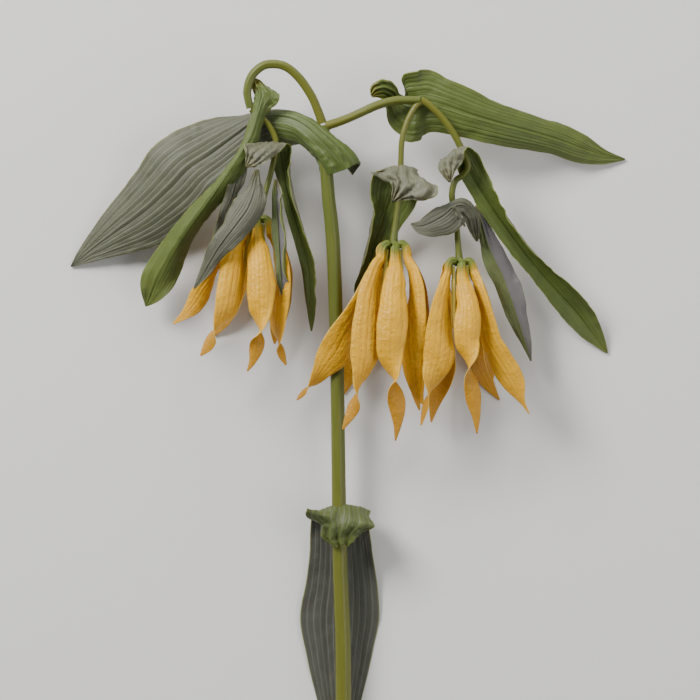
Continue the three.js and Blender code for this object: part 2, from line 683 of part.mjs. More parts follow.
placeLeaf("left_side_leaf", LEAF_GREEN, [
  [-17.8, 66.2, 16.6, 0.4, 0, 0, 0],
  [-17.6, 61.3, 17.8, [1.3, 1.8], 0, 0, [-20, 120]],
  [-17.2, 56.3, 18.6, [1.6, 2.6], 0, 0, [-20, 130]],
  [-16.9, 51.3, 19, [1.8, 2.8], 0, 0, [-20, 130]],
  [-16.6, 45.8, 19, [1.5, 2.4], 0, 0, [-20, 120]],
  [-16.3, 41.3, 18.6, [1.2, 1.8], 0, 0, [-10, 100]],
  [-16.0, 37.5, 18, 0.8, 0, -20, 0],
  [-15.6, 33.8, 17.4, 0.2, 0, 0, 0],
]);
placeLeaf("left_long_leaf", LEAF_GREEN, [
  [-23.4, 91.2, 14.6, [0.5, 0.5], 0, 0, 0],
  [-22.6, 90.2, 15.0, [1.8, 1.6], 0, -10, -40],
  [-21.6, 88.6, 15.8, [3.0, 2.6], 0, -10, [-60, -30]],
  [-21.4, 87.0, 16.4, [3.4, 4.6], 0, -10, [-60, 20]],
  [-21.8, 85.2, 16.8, [3.4, 3.0], 0, -20, [-60, -20]],
  [-22.6, 82.6, 17.2, [3.6, 3.2], 8, -30, -60],
  [-24.2, 77.8, 17.8, 3.8, 20, -38, -40],
  [-26.6, 73.2, 18.2, 4.0, 26, -40, -30],
  [-29.6, 68.6, 18, 4.2, 20, -40, -30],
  [-32.6, 64.2, 17.6, 4.2, 12, -40, -30],
  [-35.6, 60, 16.8, 4.2, 5, -40, -30],
  [-40.6, 53.3, 14.8, 4.4, 0, -38, -25],
  [-44.4, 47.5, 12.2, 4.7, 0, -30, -15],
  [-47.6, 41.9, 9.2, 4.6, 0, -15, 0],
  [-49.6, 37.6, 6.8, 2.8, 0, 0, 20],
  [-51.0, 34.8, 5.6, 0.2, 0, 0, 0],
]);
placeLeaf("fork_leaf", LEAF_GREY, [
  [-1.0, 68.6, 16.4, [12.4, 12.4], 0, 0, [-160, -155], [0.35, -0.3]],
  [-2.2, 70.6, 17.0, [12.0, 12.0], 0, 0, [-165, -165], [0.3, -0.25]],
  [-4.5, 73.4, 17.2, [10.8, 11.2], 0, 0, -170, [0.15, -0.1]],
  [-7.2, 76.2, 17.0, [9.4, 10.2], 0, 0, -170],
  [-9.8, 78.8, 16.2, [8.2, 9.4], 0, 0, [-170, -150]],
  [-12.6, 80.8, 15.0, [6.4, 9.0], 0, 0, [-165, -110]],
  [-15.8, 81.9, 13.6, [4.8, 9.2], 0, 0, [-150, -70]],
  [-19.6, 82.0, 12.4, [4.2, 9.0], 0, 0, [-130, -40]],
  [-23.6, 80.6, 11.6, [5.0, 8.6], 0, 0, [-90, -10]],
  [-27.8, 77.6, 11.0, [7.0, 8.2], 0, 0, [-40, 10]],
  [-34.0, 73.0, 10.4, [9.4, 8.6], 0, 0, [-24, 10]],
  [-39.6, 69.2, 10.4, [10.6, 10.2], 0, 0, [-28, 10]],
  [-44.4, 64.3, 9.4, [10.8, 10.6], 0, 0, [-28, 0]],
  [-51.4, 58.3, 6.8, [9, 8.8], 0, 0, [-24, -10]],
  [-59.4, 53, 3.9, 5.8, 0, 0, -14],
  [-65.9, 48.5, 1.8, 2.7, 0, 0, -6],
  [-70.4, 45, 0.45, 0.2, 0, 0, 0],
]);
placeLeaf("middle_leaf", LEAF_GREEN, [
  [11.0, 60.4, 19.4, 0.3, 0, 0, 0],
  [12.2, 62.2, 19.8, [1.6, 2.4], 0, 0, 20],
  [13.2, 63.8, 19.8, [2.8, 4.6], 0, 0, [20, 30], [0, 0.1]],
  [13.8, 65.6, 19.2, [4.0, 9.2], 0, 0, [20, -10], [0, 0.25]],
  [13.8, 67.4, 18.0, [8.2, 5.2], 0, 0, [-20, 30], [0, 0]],
  [13.6, 68.9, 16.4, [5.0, 4.2], 0, 0, [30, 40]],
  [13.2, 69.6, 14.2, [5.2, 4.6], 0, 0, [30, 40]],
  [12.4, 67.3, 11.6, [6.4, 6.0], 0, 0, [40, 40]],
  [11.1, 62.3, 9.6, [6.2, 6.6], 0, 0, [60, 30]],
  [8.9, 56.8, 7.4, [4.8, 5.0], 0, 0, [100, 20]],
  [6.9, 51.3, 5.8, [4.0, 4.0], 0, 0, [110, 15]],
  [5.6, 45.8, 4.8, [3.4, 3.4], 0, 0, [110, 10]],
  [4.4, 40.8, 3.8, [2.8, 2.8], 0, 0, [80, 0]],
  [2.9, 36.3, 3, 1.2, 0, 0, 0],
  [1.9, 33, 2.6, 0.2, 0, 0, 0],
], DOWNHILL);
placeLeaf("right_long_leaf", LEAF_GREEN, [
  [25.4, 65.4, 18.8, 0.3, 0, 0, 0],
  [24.9, 67.6, 19.2, [1.6, 1.8], 0, 0, 0],
  [24.7, 69.9, 19.0, [2.6, 3.4], 0, 0, 30],
  [25.2, 72.0, 17.8, [2.6, 4.6], 0, 0, 50],
  [26.8, 72.4, 15.6, [2.6, 4.8], 0, 0, 50],
  [29.2, 70.4, 13.2, [3.0, 4.4], 0, 0, [30, 40]],
  [31.8, 66.2, 12.4, [3.2, 3.8], 0, 10, [20, 40]],
  [34.9, 61.5, 12.2, [3.4, 3.8], 0, 25, [10, 60]],
  [38.9, 55.8, 11.6, [3.4, 4.0], 0, 28, [10, 70]],
  [43.6, 49.5, 10.0, [3.6, 4.0], 0, 28, [10, 70]],
  [48.6, 43.5, 8.0, [3.8, 4.2], 0, 26, [10, 60]],
  [53.6, 38, 6.0, [4.2, 4.4], 0, 24, [10, 50]],
  [58.1, 33.3, 3.8, [4.0, 4.2], 0, 20, [0, 40]],
  [61.9, 28.5, 2, 2.8, 0, 15, 0],
  [64.4, 25.3, 1, 1.4, 0, 5, 0],
  [66.1, 23, 0.45, 0.2, 0, 0, 0],
], SLANTED);
placeLeaf("right_bract_leaf", LEAF_GREY, [
  [32.3, 50.8, 14.6, 0.3, 0, 0, 0],
  [32.0, 53.6, 15.4, [1.2, 1.6], 0, 0, 20],
  [31.2, 57.0, 16.6, [1.6, 2.4], 0, 0, -20],
  [29.2, 59.4, 17.6, [1.8, 3.0], 0, 0, -50],
  [26.6, 59.2, 18.0, [2.2, 4.0], 0, 0, -50],
  [24.0, 57.2, 17.8, [2.8, 5.0], 0, 0, -30],
  [20.8, 55.4, 17.2, [2.4, 3.8], 0, 0, -10],
  [18.2, 54.6, 16.5, [1.6, 2.2], 0, 0, 10],
  [15.8, 55.2, 16, 0.2, 0, 0, 0],
]);
placeLeaf("right_leaf_bud", LEAF_GREY, [
  [26.4, 59.3, 19.0, 0.5, 0, 0, 0],
  [27.4, 57.5, 19.9, 0.7, 0, 0, 0],
  [28.4, 55.8, 20.1, 0.6, 0, 0, 0],
  [29.1, 54.3, 20, 0.2, 0, 0, 0],
]);
placeLeaf("right_hanging_leaf", LEAF_GREY, [
  [31.6, 59.6, 13.6, 0.6, 0, 0, 0],
  [33.4, 56.8, 13, 1.4, 0, -10, 0],
  [34.6, 53, 12.5, 2.0, 0, -15, 0],
  [35.8, 49.5, 12, 2.6, 0, -20, 0],
  [37.4, 46, 11.5, 3.2, 0, -20, 0],
  [39.1, 42.8, 11, 3.4, 0, -20, 0],
  [40.4, 39.3, 10.5, 3.3, 0, -20, 0],
  [41.8, 35.5, 10, 3.1, 0, -20, 0],
  [43.0, 31.8, 9.5, 2.7, 0, -20, 0],
  [44.2, 28, 9, 2.0, 0, -15, 0],
  [45.2, 24.8, 8.5, 1.1, 0, -10, 0],
  [46.2, 21, 8, 0.2, 0, 0, 0],
]);
placeLeaf("right_broad_leaf", LEAF_GREEN, [
  [6.0, 87.2, 13.4, 0.4, 0, 0, 0],
  [7.2, 88.2, 13.6, [1.8, 2.2], 0, 0, [20, 40]],
  [9.0, 88.6, 13.2, [2.4, 2.6], 0, 0, [30, 50]],
  [10.8, 88.0, 12.2, [3.0, 2.4], 0, 0, [20, 20]],
  [12.4, 86.8, 11.6, [3.6, 1.4], 0, 0, -10, [0.3, 0]],
  [14.2, 86.0, 11.4, [6.8, 2.0], 0, 0, [-10, 10], [0.3, 0]],
  [15.4, 86.0, 11.6, [9.4, 6.6], 0, 0, [-10, 40], [0.2, 0.1]],
  [17.2, 86.2, 12, [10.2, 7.4], 0, 0, [-10, 30], [0.1, -0.2]],
  [20.0, 86.2, 12.4, [9.0, 7.8], 0, 0, [-20, -10]],
  [24.1, 85.2, 12.8, [7.6, 6.6], 0, 0, [-20, -20]],
  [30.6, 82.9, 12.6, [6.2, 5.8], 0, 0, [-25, -30]],
  [38.1, 80.8, 11.4, [5.6, 5.2], 0, 0, [-30, -40]],
  [45.6, 79, 9.2, 5.0, 0, 0, -40],
  [53.1, 77, 6.6, 4.6, 0, 0, -40],
  [59.4, 74.9, 4, [4.0, 3.4], 0, 0, -20],
  [64.9, 73.2, 1.8, [2.4, 1.6], 0, 0, -10],
  [70.6, 72.3, 0.45, 0.2, 0, 0, 0],
]);
placeLeaf("lower_leaf", LEAF_GREEN, [
  [-2.4, -26.0, 10.2, 1.2, 0, 0, 30],
  [-2.2, -24.4, 11.6, [4.4, 4.0], 0, 0, 60],
  [-1.6, -21.6, 12.6, [6.6, 5.8], 0, 0, 75],
  [-0.8, -18.8, 12.4, [8.2, 6.8], 0, 0, 70],
  [-0.6, -16.6, 10.8, [8.6, 7.2], 0, 0, 40],
  [-1.2, -15.4, 7.6, [7.2, 7.4], 0, 0, 30],
  [-1.9, -17, 4.6, 7.2, 0, 0, 30],
  [-1.9, -21.3, 3.2, 7.6, 0, 0, 15],
  [-1.6, -27.5, 2.2, 8.0, 0, 0, 8],
  [-1.6, -36.3, 1.2, 9.4, 0, 0, 0],
  [-2.1, -45, 0.45, 9.8, 0, 0, 0],
  [-2.1, -53.8, 0.45, 8.4, 0, 0, 0],
  [-2.1, -63.8, 0.45, 6.0, 0, 0, 0],
  [-2.1, -73.8, 0.45, 3.8, 0, 0, 0],
  [-2.4, -82.5, 0.45, 1.8, 0, 0, 0],
  [-2.4, -88.8, 0.45, 0.2, 0, 0, 0],
], DOWNHILL);

export default shoot;
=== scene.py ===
"""Looks of a cut shoot of large-flowered bellwort, lying on a pale table.

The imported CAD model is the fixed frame. Every piece built here stands for one of its nodes, in
the same metres and the same axes: +Y from the cut end to the arched top, +Z up from the table.
"""

import logging
import math
from dataclasses import dataclass, field, replace
from enum import Enum

import bmesh
import bpy
import numpy as np
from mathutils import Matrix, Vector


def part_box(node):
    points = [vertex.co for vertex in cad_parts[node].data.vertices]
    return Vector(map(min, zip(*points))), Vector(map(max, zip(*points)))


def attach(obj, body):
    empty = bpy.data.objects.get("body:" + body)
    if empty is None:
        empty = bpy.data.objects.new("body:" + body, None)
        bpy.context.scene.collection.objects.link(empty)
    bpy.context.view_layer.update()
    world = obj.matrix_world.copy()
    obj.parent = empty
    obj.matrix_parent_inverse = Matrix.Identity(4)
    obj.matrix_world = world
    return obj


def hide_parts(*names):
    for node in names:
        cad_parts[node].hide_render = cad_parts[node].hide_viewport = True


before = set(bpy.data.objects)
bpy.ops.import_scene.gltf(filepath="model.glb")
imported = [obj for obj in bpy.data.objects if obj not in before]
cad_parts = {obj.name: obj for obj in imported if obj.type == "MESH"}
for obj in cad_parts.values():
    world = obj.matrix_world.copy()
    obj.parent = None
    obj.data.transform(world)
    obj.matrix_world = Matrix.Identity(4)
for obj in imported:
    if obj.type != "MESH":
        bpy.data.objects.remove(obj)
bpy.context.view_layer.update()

LOG = logging.getLogger("bellwort")
MM = 0.001
FLOWER_HEIGHT = 14.0
LEAST_HALF_WIDTH = 0.12  # of a blade's tip
JOINT_REACH = 0.5  # how far a branch or flower stalk runs into what it grows from


# ---- Small helpers ----


def srgb(text: str) -> tuple[float, float, float, float]:
    """Turns a hex colour into linear light.

    Args:
        text: Six hex digits after a hash, as the eye sees the colour.

    Returns:
        Linear red, green, blue and an alpha of one.
    """
    channels = [int(text[k : k + 2], 16) / 255 for k in (1, 3, 5)]
    linear = [c / 12.92 if c <= 0.04045 else ((c + 0.055) / 1.055) ** 2.4 for c in channels]
    return (*linear, 1.0)


def add_node(
    tree: bpy.types.NodeTree,
    kind: str,
    settings: dict | None = None,
    inputs: dict | None = None,
) -> bpy.types.Node:
    """Adds one node to a tree, with its settings and what feeds it.

    Args:
        tree: The shader or geometry tree.
        kind: The node's type name.
        settings: Values of the node's own properties.
        inputs: Socket name or number to a value, a socket, or a node whose first output is used.

    Returns:
        The new node.
    """
    node = tree.nodes.new(kind)
    for name, value in (settings or {}).items():
        setattr(node, name, value)
    for key, value in (inputs or {}).items():
        socket = node.inputs[key]
        if isinstance(value, bpy.types.Node):
            value = value.outputs[0]
        if isinstance(value, bpy.types.NodeSocket):
            tree.links.new(value, socket)
        else:
            socket.default_value = value
    return node


def formula(tree: bpy.types.NodeTree, expression: object) -> object:
    """Writes a sum as math nodes.

    Args:
        tree: The tree the nodes go into.
        expression: A number, a socket, a node, or a tuple of a math operation and its operands.

    Returns:
        What holds the result: a number, a socket or a node.
    """
    if not isinstance(expression, tuple):
        return expression
    operation, *operands = expression
    values = {k: formula(tree, operand) for k, operand in enumerate(operands)}
    return add_node(tree, "ShaderNodeMath", {"operation": operation}, values)


def unit(vectors: np.ndarray) -> np.ndarray:
    """Scales vectors to length one.

    Args:
        vectors: Vectors in the last axis.

    Returns:
        The vectors at length one.
    """
    return vectors / np.maximum(np.linalg.norm(vectors, axis=-1, keepdims=True), 1e-9)


def smooth_rows(rows: np.ndarray, steps: int) -> np.ndarray:
    """Reads rows of numbers at even steps on a smooth curve through them.

    Args:
        rows: One row of numbers per station.
        steps: How many steps there are from the first station to the last.

    Returns:
        steps + 1 rows.
    """
    last = len(rows) - 1
    place = np.linspace(0, last, steps + 1)
    i = np.minimum(place.astype(int), last - 1)
    t = (place - i)[:, None]
    a, b, c, d = (rows[np.clip(i + k, 0, last)] for k in (-1, 0, 1, 2))
    slope_in, slope_out = (c - a) / 2, (d - b) / 2
    cubic = 2 * b - 2 * c + slope_in + slope_out
    square = 3 * c - 3 * b - 2 * slope_in - slope_out
    return ((cubic * t + square) * t + slope_in) * t + b


# ---- Finishes ----


class Side(Enum):
    """The two faces of a leaf or tepal."""

    UPPER = "upper"
    UNDER = "under"


@dataclass(frozen=True)
class BladeFinish:
    """Skin of a leaf or tepal, coloured from base to tip, with lengthwise veins."""

    name: str
    base: str
    body: str
    tip: str
    under_base: str
    under_body: str
    under_tip: str
    vein: str
    margin: str
    vein_count: float
    vein_strength: float
    margin_width: float
    roughness: float
    subsurface: float
    base_reach: float = 0.12
    tip_reach: float = 0.75
    base_hold: float = 0.0
    streak_reach: float = 0.0
    crinkle: float = 0.0
    split: float = 0.0

    def build(self) -> bpy.types.Material:
        """Makes the material.

        Returns:
            The material, reading the blade's own coordinates.
        """
        material = bpy.data.materials.new(self.name)
        material.use_nodes = True
        tree = material.node_tree
        tree.nodes.clear()
        uv = add_node(tree, "ShaderNodeUVMap", {"uv_map": "blade"})
        parts = add_node(tree, "ShaderNodeSeparateXYZ", inputs={0: uv})
        across = formula(tree, ("MULTIPLY_ADD", parts.outputs[0], 2.0, -1.0))
        along = parts.outputs[1]
        place = add_node(tree, "ShaderNodeTexCoord").outputs["Object"]
        under = add_node(tree, "ShaderNodeAttribute", {"attribute_name": "underside"})
        faces = {}
        for side, colours in (
            (Side.UPPER, (self.base, self.body, self.tip)),
            (Side.UNDER, (self.under_base, self.under_body, self.under_tip)),
        ):
            ramp = add_node(tree, "ShaderNodeValToRGB", inputs={0: along})
            stops = ramp.color_ramp
            stops.elements[0].color = srgb(colours[0])
            stops.elements[1].color = srgb(colours[2])
            if self.base_hold:
                stops.elements.new(self.base_hold).color = srgb(colours[0])
            for at, colour in ((self.base_reach, colours[1]), (self.tip_reach, colours[1])):
                stops.elements.new(at).color = srgb(colour)
            faces[side] = ramp
        # A folded leaf shows its underside's colour on its left half.
        left = ("MULTIPLY", ("LESS_THAN", across, -0.06), self.split)
        skin = add_node(
            tree,
            "ShaderNodeMix",
            {"data_type": "RGBA", "clamp_factor": True},
            {
                0: formula(tree, ("ADD", under.outputs["Fac"], left)),
                6: faces[Side.UPPER],
                7: faces[Side.UNDER],
            },
        ).outputs[2]
        if self.streak_reach:
            # The base's own colour runs down the middle of the blade and fades.
            fade = ("MAXIMUM", ("MULTIPLY_ADD", along, -1.0 / self.streak_reach, 1.0), 0.0)
            middle = ("EXPONENT", ("MULTIPLY", ("POWER", ("ABSOLUTE", across), 2.0), -7.0))
            skin = add_node(
                tree,
                "ShaderNodeMix",
                {"data_type": "RGBA"},
                {0: formula(tree, ("MULTIPLY", fade, middle)), 6: skin, 7: srgb(self.base)},
            ).outputs[2]
        # Soft blotches a few millimetres wide, as in fresh tissue of uneven thickness.
        blotch = add_node(
            tree,
            "ShaderNodeTexNoise",
            inputs={"Vector": place, "Scale": 240.0, "Detail": 3.0, "Roughness": 0.6},
        )
        value = formula(tree, ("MULTIPLY_ADD", blotch, 0.5, 0.75))
        skin = add_node(
            tree,
            "ShaderNodeHueSaturation",
            inputs={"Value": value, "Color": skin},
        ).outputs[0]
        # Main veins, and finer ones between them.
        turn = 2 * math.pi * self.vein_count
        main = ("POWER", ("MULTIPLY_ADD", ("COSINE", ("MULTIPLY", across, turn)), 0.5, 0.5), 6.0)
        fine = (
            "POWER",
            ("MULTIPLY_ADD", ("COSINE", ("MULTIPLY", across, turn * 4)), 0.5, 0.5),
            2.0,
        )
        veins = formula(tree, ("MULTIPLY_ADD", fine, 0.35, main))
        near_base = ("MINIMUM", ("MULTIPLY_ADD", along, 3.5, 0.15), 1.0)
        amount = formula(tree, ("MULTIPLY", veins, ("MULTIPLY", near_base, self.vein_strength)))
        skin = add_node(
            tree,
            "ShaderNodeMix",
            {"data_type": "RGBA", "clamp_factor": True},
            {0: amount, 6: skin, 7: srgb(self.vein)},
        ).outputs[2]
        # A thin paler rim where the blade ends.
        rim = add_node(
            tree,
            "ShaderNodeMapRange",
            {"interpolation_type": "SMOOTHSTEP"},
            {
                "Value": formula(tree, ("ABSOLUTE", across)),
                "From Min": 1 - 2 * self.margin_width,
                "From Max": 1.0,
                "To Max": 0.85,
            },
        )
        skin = add_node(
            tree,
            "ShaderNodeMix",
            {"data_type": "RGBA"},
            {0: rim, 6: skin, 7: srgb(self.margin)},
        ).outputs[2]
        grain = add_node(
            tree,
            "ShaderNodeTexNoise",
            inputs={"Vector": place, "Scale": 2600.0, "Detail": 2.0},
        )
        # Wrinkles about a millimetre apart, stretched along the blade.
        wrinkle = add_node(
            tree,
            "ShaderNodeTexNoise",
            inputs={"Vector": place, "Scale": 900.0, "Detail": 2.0, "Distortion": 0.6},
        )
        height = ("MULTIPLY_ADD", wrinkle, self.crinkle, ("MULTIPLY_ADD", veins, -0.8, grain))
        bump = add_node(
            tree,
            "ShaderNodeBump",
            inputs={"Strength": 0.4, "Distance": 0.00015, "Height": formula(tree, height)},
        )
        rough = formula(tree, ("MULTIPLY_ADD", blotch, 0.2, self.roughness - 0.1))
        surface = add_node(
            tree,
            "ShaderNodeBsdfPrincipled",
            inputs={
                "Base Color": skin,
                "Roughness": rough,
                "IOR": 1.42,
                "Normal": bump,
                "Subsurface Weight": self.subsurface,
                "Subsurface Radius": (1.0, 0.6, 0.2),
                "Subsurface Scale": 0.0008,
            },
        )
        add_node(tree, "ShaderNodeOutputMaterial", inputs={"Surface": surface})
        return material


@dataclass(frozen=True)
class RoundFinish:
    """Skin of a stem, stamen or pistil: lengthwise streaks over a colour that changes along it."""

    name: str
    start: str
    end: str
    streak: str
    streak_amount: float
    roughness: float
    grain: float = 0.25

    def build(self) -> bpy.types.Material:
        """Makes the material.

        Returns:
            The material, reading the tube's own coordinates.
        """
        material = bpy.data.materials.new(self.name)
        material.use_nodes = True
        tree = material.node_tree
        tree.nodes.clear()
        along = add_node(tree, "ShaderNodeAttribute", {"attribute_name": "along"})
        length = add_node(tree, "ShaderNodeAttribute", {"attribute_name": "length_mm"})
        ring = add_node(tree, "ShaderNodeAttribute", {"attribute_name": "ring"})
        place = add_node(tree, "ShaderNodeTexCoord").outputs["Object"]
        body = add_node(
            tree,
            "ShaderNodeMix",
            {"data_type": "RGBA"},
            {0: along.outputs["Fac"], 6: srgb(self.start), 7: srgb(self.end)},
        ).outputs[2]
        # Streaks follow the fibres: short round the stem, long along it.
        spin = add_node(tree, "ShaderNodeSeparateXYZ", inputs={0: ring.outputs["Vector"]})
        fibre = add_node(
            tree,
            "ShaderNodeCombineXYZ",
            inputs={
                0: formula(tree, ("MULTIPLY", spin.outputs[0], 5.0)),
                1: formula(tree, ("MULTIPLY", spin.outputs[1], 5.0)),
                2: formula(tree, ("MULTIPLY", length.outputs["Fac"], 0.12)),
            },
        )
        streaks = add_node(
            tree,
            "ShaderNodeTexNoise",
            inputs={"Vector": fibre, "Scale": 1.0, "Detail": 3.0, "Roughness": 0.65},
        )
        amount = add_node(
            tree,
            "ShaderNodeMapRange",
            inputs={"Value": streaks, "From Min": 0.4, "From Max": 0.7, "To Max": self.streak_amount},
        )
        body = add_node(
            tree,
            "ShaderNodeMix",
            {"data_type": "RGBA"},
            {0: amount, 6: body, 7: srgb(self.streak)},
        ).outputs[2]
        grain = add_node(
            tree,
            "ShaderNodeTexNoise",
            inputs={"Vector": place, "Scale": 1800.0, "Detail": 3.0},
        )
        height = formula(tree, ("MULTIPLY_ADD", streaks, 1.5, grain))
        bump = add_node(
            tree,
            "ShaderNodeBump",
            inputs={"Strength": self.grain, "Distance": 0.0001, "Height": height},
        )
        surface = add_node(
            tree,
            "ShaderNodeBsdfPrincipled",
            inputs={
                "Base Color": body,
                "Roughness": formula(tree, ("MULTIPLY_ADD", grain, 0.2, self.roughness - 0.1)),
                "IOR": 1.42,
                "Normal": bump,
                "Subsurface Weight": 0.1,
                "Subsurface Radius": (0.8, 1.0, 0.3),
                "Subsurface Scale": 0.0005,
            },
        )
        add_node(tree, "ShaderNodeOutputMaterial", inputs={"Surface": surface})
        return material


# ---- Geometry node trees ----


def input_socket(tree: bpy.types.NodeTree, name: str, kind: str, value: object = None) -> None:
    """Adds a named input to a geometry tree.

    Args:
        tree: The geometry tree.
        name: The input's name.
        kind: The socket type's name.
        value: Its default, if it has one.
    """
    socket = tree.interface.new_socket(name=name, in_out="INPUT", socket_type=kind)
    if value is not None:
        socket.default_value = value


def named(tree: bpy.types.NodeTree, name: str, kind: str = "FLOAT") -> bpy.types.Node:
    """Reads a named attribute inside a geometry tree.

    Args:
        tree: The geometry tree.
        name: The attribute's name.
        kind: Its data type.

    Returns:
        The node whose first output is the attribute.
    """
    return add_node(tree, "GeometryNodeInputNamedAttribute", {"data_type": kind}, {"Name": name})


def finish_tree(tree: bpy.types.NodeTree, geometry: object, source: bpy.types.Node) -> None:
    """Ends a tree in Realize Instances, smooth shading and Set Material.

    Args:
        tree: The geometry tree.
        geometry: What holds the shape so far.
        source: The group's input node, with a Material input.
    """
    tree.interface.new_socket(name="Geometry", in_out="OUTPUT", socket_type="NodeSocketGeometry")
    real = add_node(tree, "GeometryNodeRealizeInstances", inputs={"Geometry": geometry})
    smooth = add_node(tree, "GeometryNodeSetShadeSmooth", inputs={"Geometry": real})
    dressed = add_node(
        tree,
        "GeometryNodeSetMaterial",
        inputs={"Geometry": smooth, "Material": source.outputs["Material"]},
    )
    add_node(tree, "NodeGroupOutput", inputs={"Geometry": dressed})


def relief_tree() -> bpy.types.NodeTree:
    """Presses veins, crumples and a wavy margin into a blade.

    Returns:
        A tree that moves a blade's two skins together, along the blade's own normal.
    """
    tree = bpy.data.node_groups.new("blade_relief", "GeometryNodeTree")
    input_socket(tree, "Geometry", "NodeSocketGeometry")
    input_socket(tree, "Material", "NodeSocketMaterial")
    for name in (
        "Vein count",
        "Vein depth",
        "Fine depth",
        "Midrib depth",
        "Crumple",
        "Crumple scale",
        "Crumple reach",
        "Fold depth",
        "Fold count",
        "Ruffle",
        "Ruffle waves",
        "Seed",
    ):
        input_socket(tree, name, "NodeSocketFloat", 0.0)
    source = add_node(tree, "NodeGroupInput")
    get = source.outputs
    across = named(tree, "across")
    along = named(tree, "along")
    sheet = named(tree, "sheet", "FLOAT_VECTOR")
    midrib = ("EXPONENT", ("MULTIPLY", ("POWER", ("ABSOLUTE", across), 2.0), -260.0))
    uneven = add_node(
        tree,
        "ShaderNodeTexNoise",
        {"noise_dimensions": "2D"},
        {
            "Vector": add_node(
                tree,
                "ShaderNodeCombineXYZ",
                inputs={
                    0: formula(tree, ("MULTIPLY_ADD", across, 5.0, get["Seed"])),
                    1: formula(tree, ("MULTIPLY", along, 1.6)),
                },
            ),
            "Scale": 1.0,
            "Detail": 1.0,
        },
    )
    warped = ("MULTIPLY_ADD", ("SUBTRACT", uneven, 0.5), 0.35, across)
    turn = ("MULTIPLY", ("MULTIPLY", warped, get["Vein count"]), 2 * math.pi)
    main = ("POWER", ("MULTIPLY_ADD", ("COSINE", turn), 0.5, 0.5), 3.0)
    fine = ("POWER", ("MULTIPLY_ADD", ("COSINE", ("MULTIPLY", turn, 4.0)), 0.5, 0.5), 2.0)
    strong = ("MAXIMUM", ("MULTIPLY", ("SUBTRACT", uneven, 0.36), 3.4), 0.05)
    inner = ("SUBTRACT", 1.0, ("POWER", ("ABSOLUTE", across), 6.0))
    ends = ("POWER", ("MAXIMUM", ("SINE", ("MULTIPLY", along, math.pi)), 0.0), 0.4)
    veins = (
        "ADD",
        ("MULTIPLY", ("MULTIPLY", main, strong), get["Vein depth"]),
        ("ADD", ("MULTIPLY", fine, get["Fine depth"]), ("MULTIPLY", midrib, get["Midrib depth"])),
    )
    pressed = ("MULTIPLY", ("MULTIPLY", veins, ("MULTIPLY", inner, ends)), -1.0)
    where = add_node(tree, "GeometryNodeInputPosition")
    noise = add_node(
        tree,
        "ShaderNodeTexNoise",
        {"noise_dimensions": "4D"},
        {"Vector": where, "W": get["Seed"], "Scale": get["Crumple scale"], "Detail": 2.0},
    )
    near = add_node(
        tree,
        "ShaderNodeMapRange",
        {"interpolation_type": "SMOOTHSTEP"},
        {"Value": along, "From Min": 0.0, "From Max": get["Crumple reach"], "To Min": 1.0, "To Max": 0.12},
    )
    crumple = ("MULTIPLY", ("SUBTRACT", noise, 0.5), get["Crumple"])
    spread = ("MULTIPLY_ADD", noise, 0.9, ("MULTIPLY", across, get["Fold count"]))
    folds = ("MULTIPLY", ("SINE", ("MULTIPLY", spread, 2 * math.pi)), get["Fold depth"])
    crumple = ("MULTIPLY", ("ADD", crumple, ("MULTIPLY", folds, inner)), near)
    beat = ("ADD", ("MULTIPLY", along, get["Ruffle waves"]), ("MULTIPLY", noise, 0.6))
    phase = ("MULTIPLY_ADD", ("SIGN", across), 0.17, ("ADD", beat, get["Seed"]))
    wave = ("SINE", ("MULTIPLY", phase, 2 * math.pi))
    edge = ("POWER", ("ABSOLUTE", across), 2.5)
    ruffle = ("MULTIPLY", ("MULTIPLY", wave, edge), ("MULTIPLY", get["Ruffle"], ends))
    rise = formula(tree, ("ADD", pressed, ("ADD", crumple, ruffle)))
    offset = add_node(
        tree, "ShaderNodeVectorMath", {"operation": "SCALE"}, {0: sheet, "Scale": rise}
    )
    moved = add_node(
        tree,
        "GeometryNodeSetPosition",
        inputs={"Geometry": get["Geometry"], "Offset": offset},
    )
    finish_tree(tree, moved, source)
    return tree


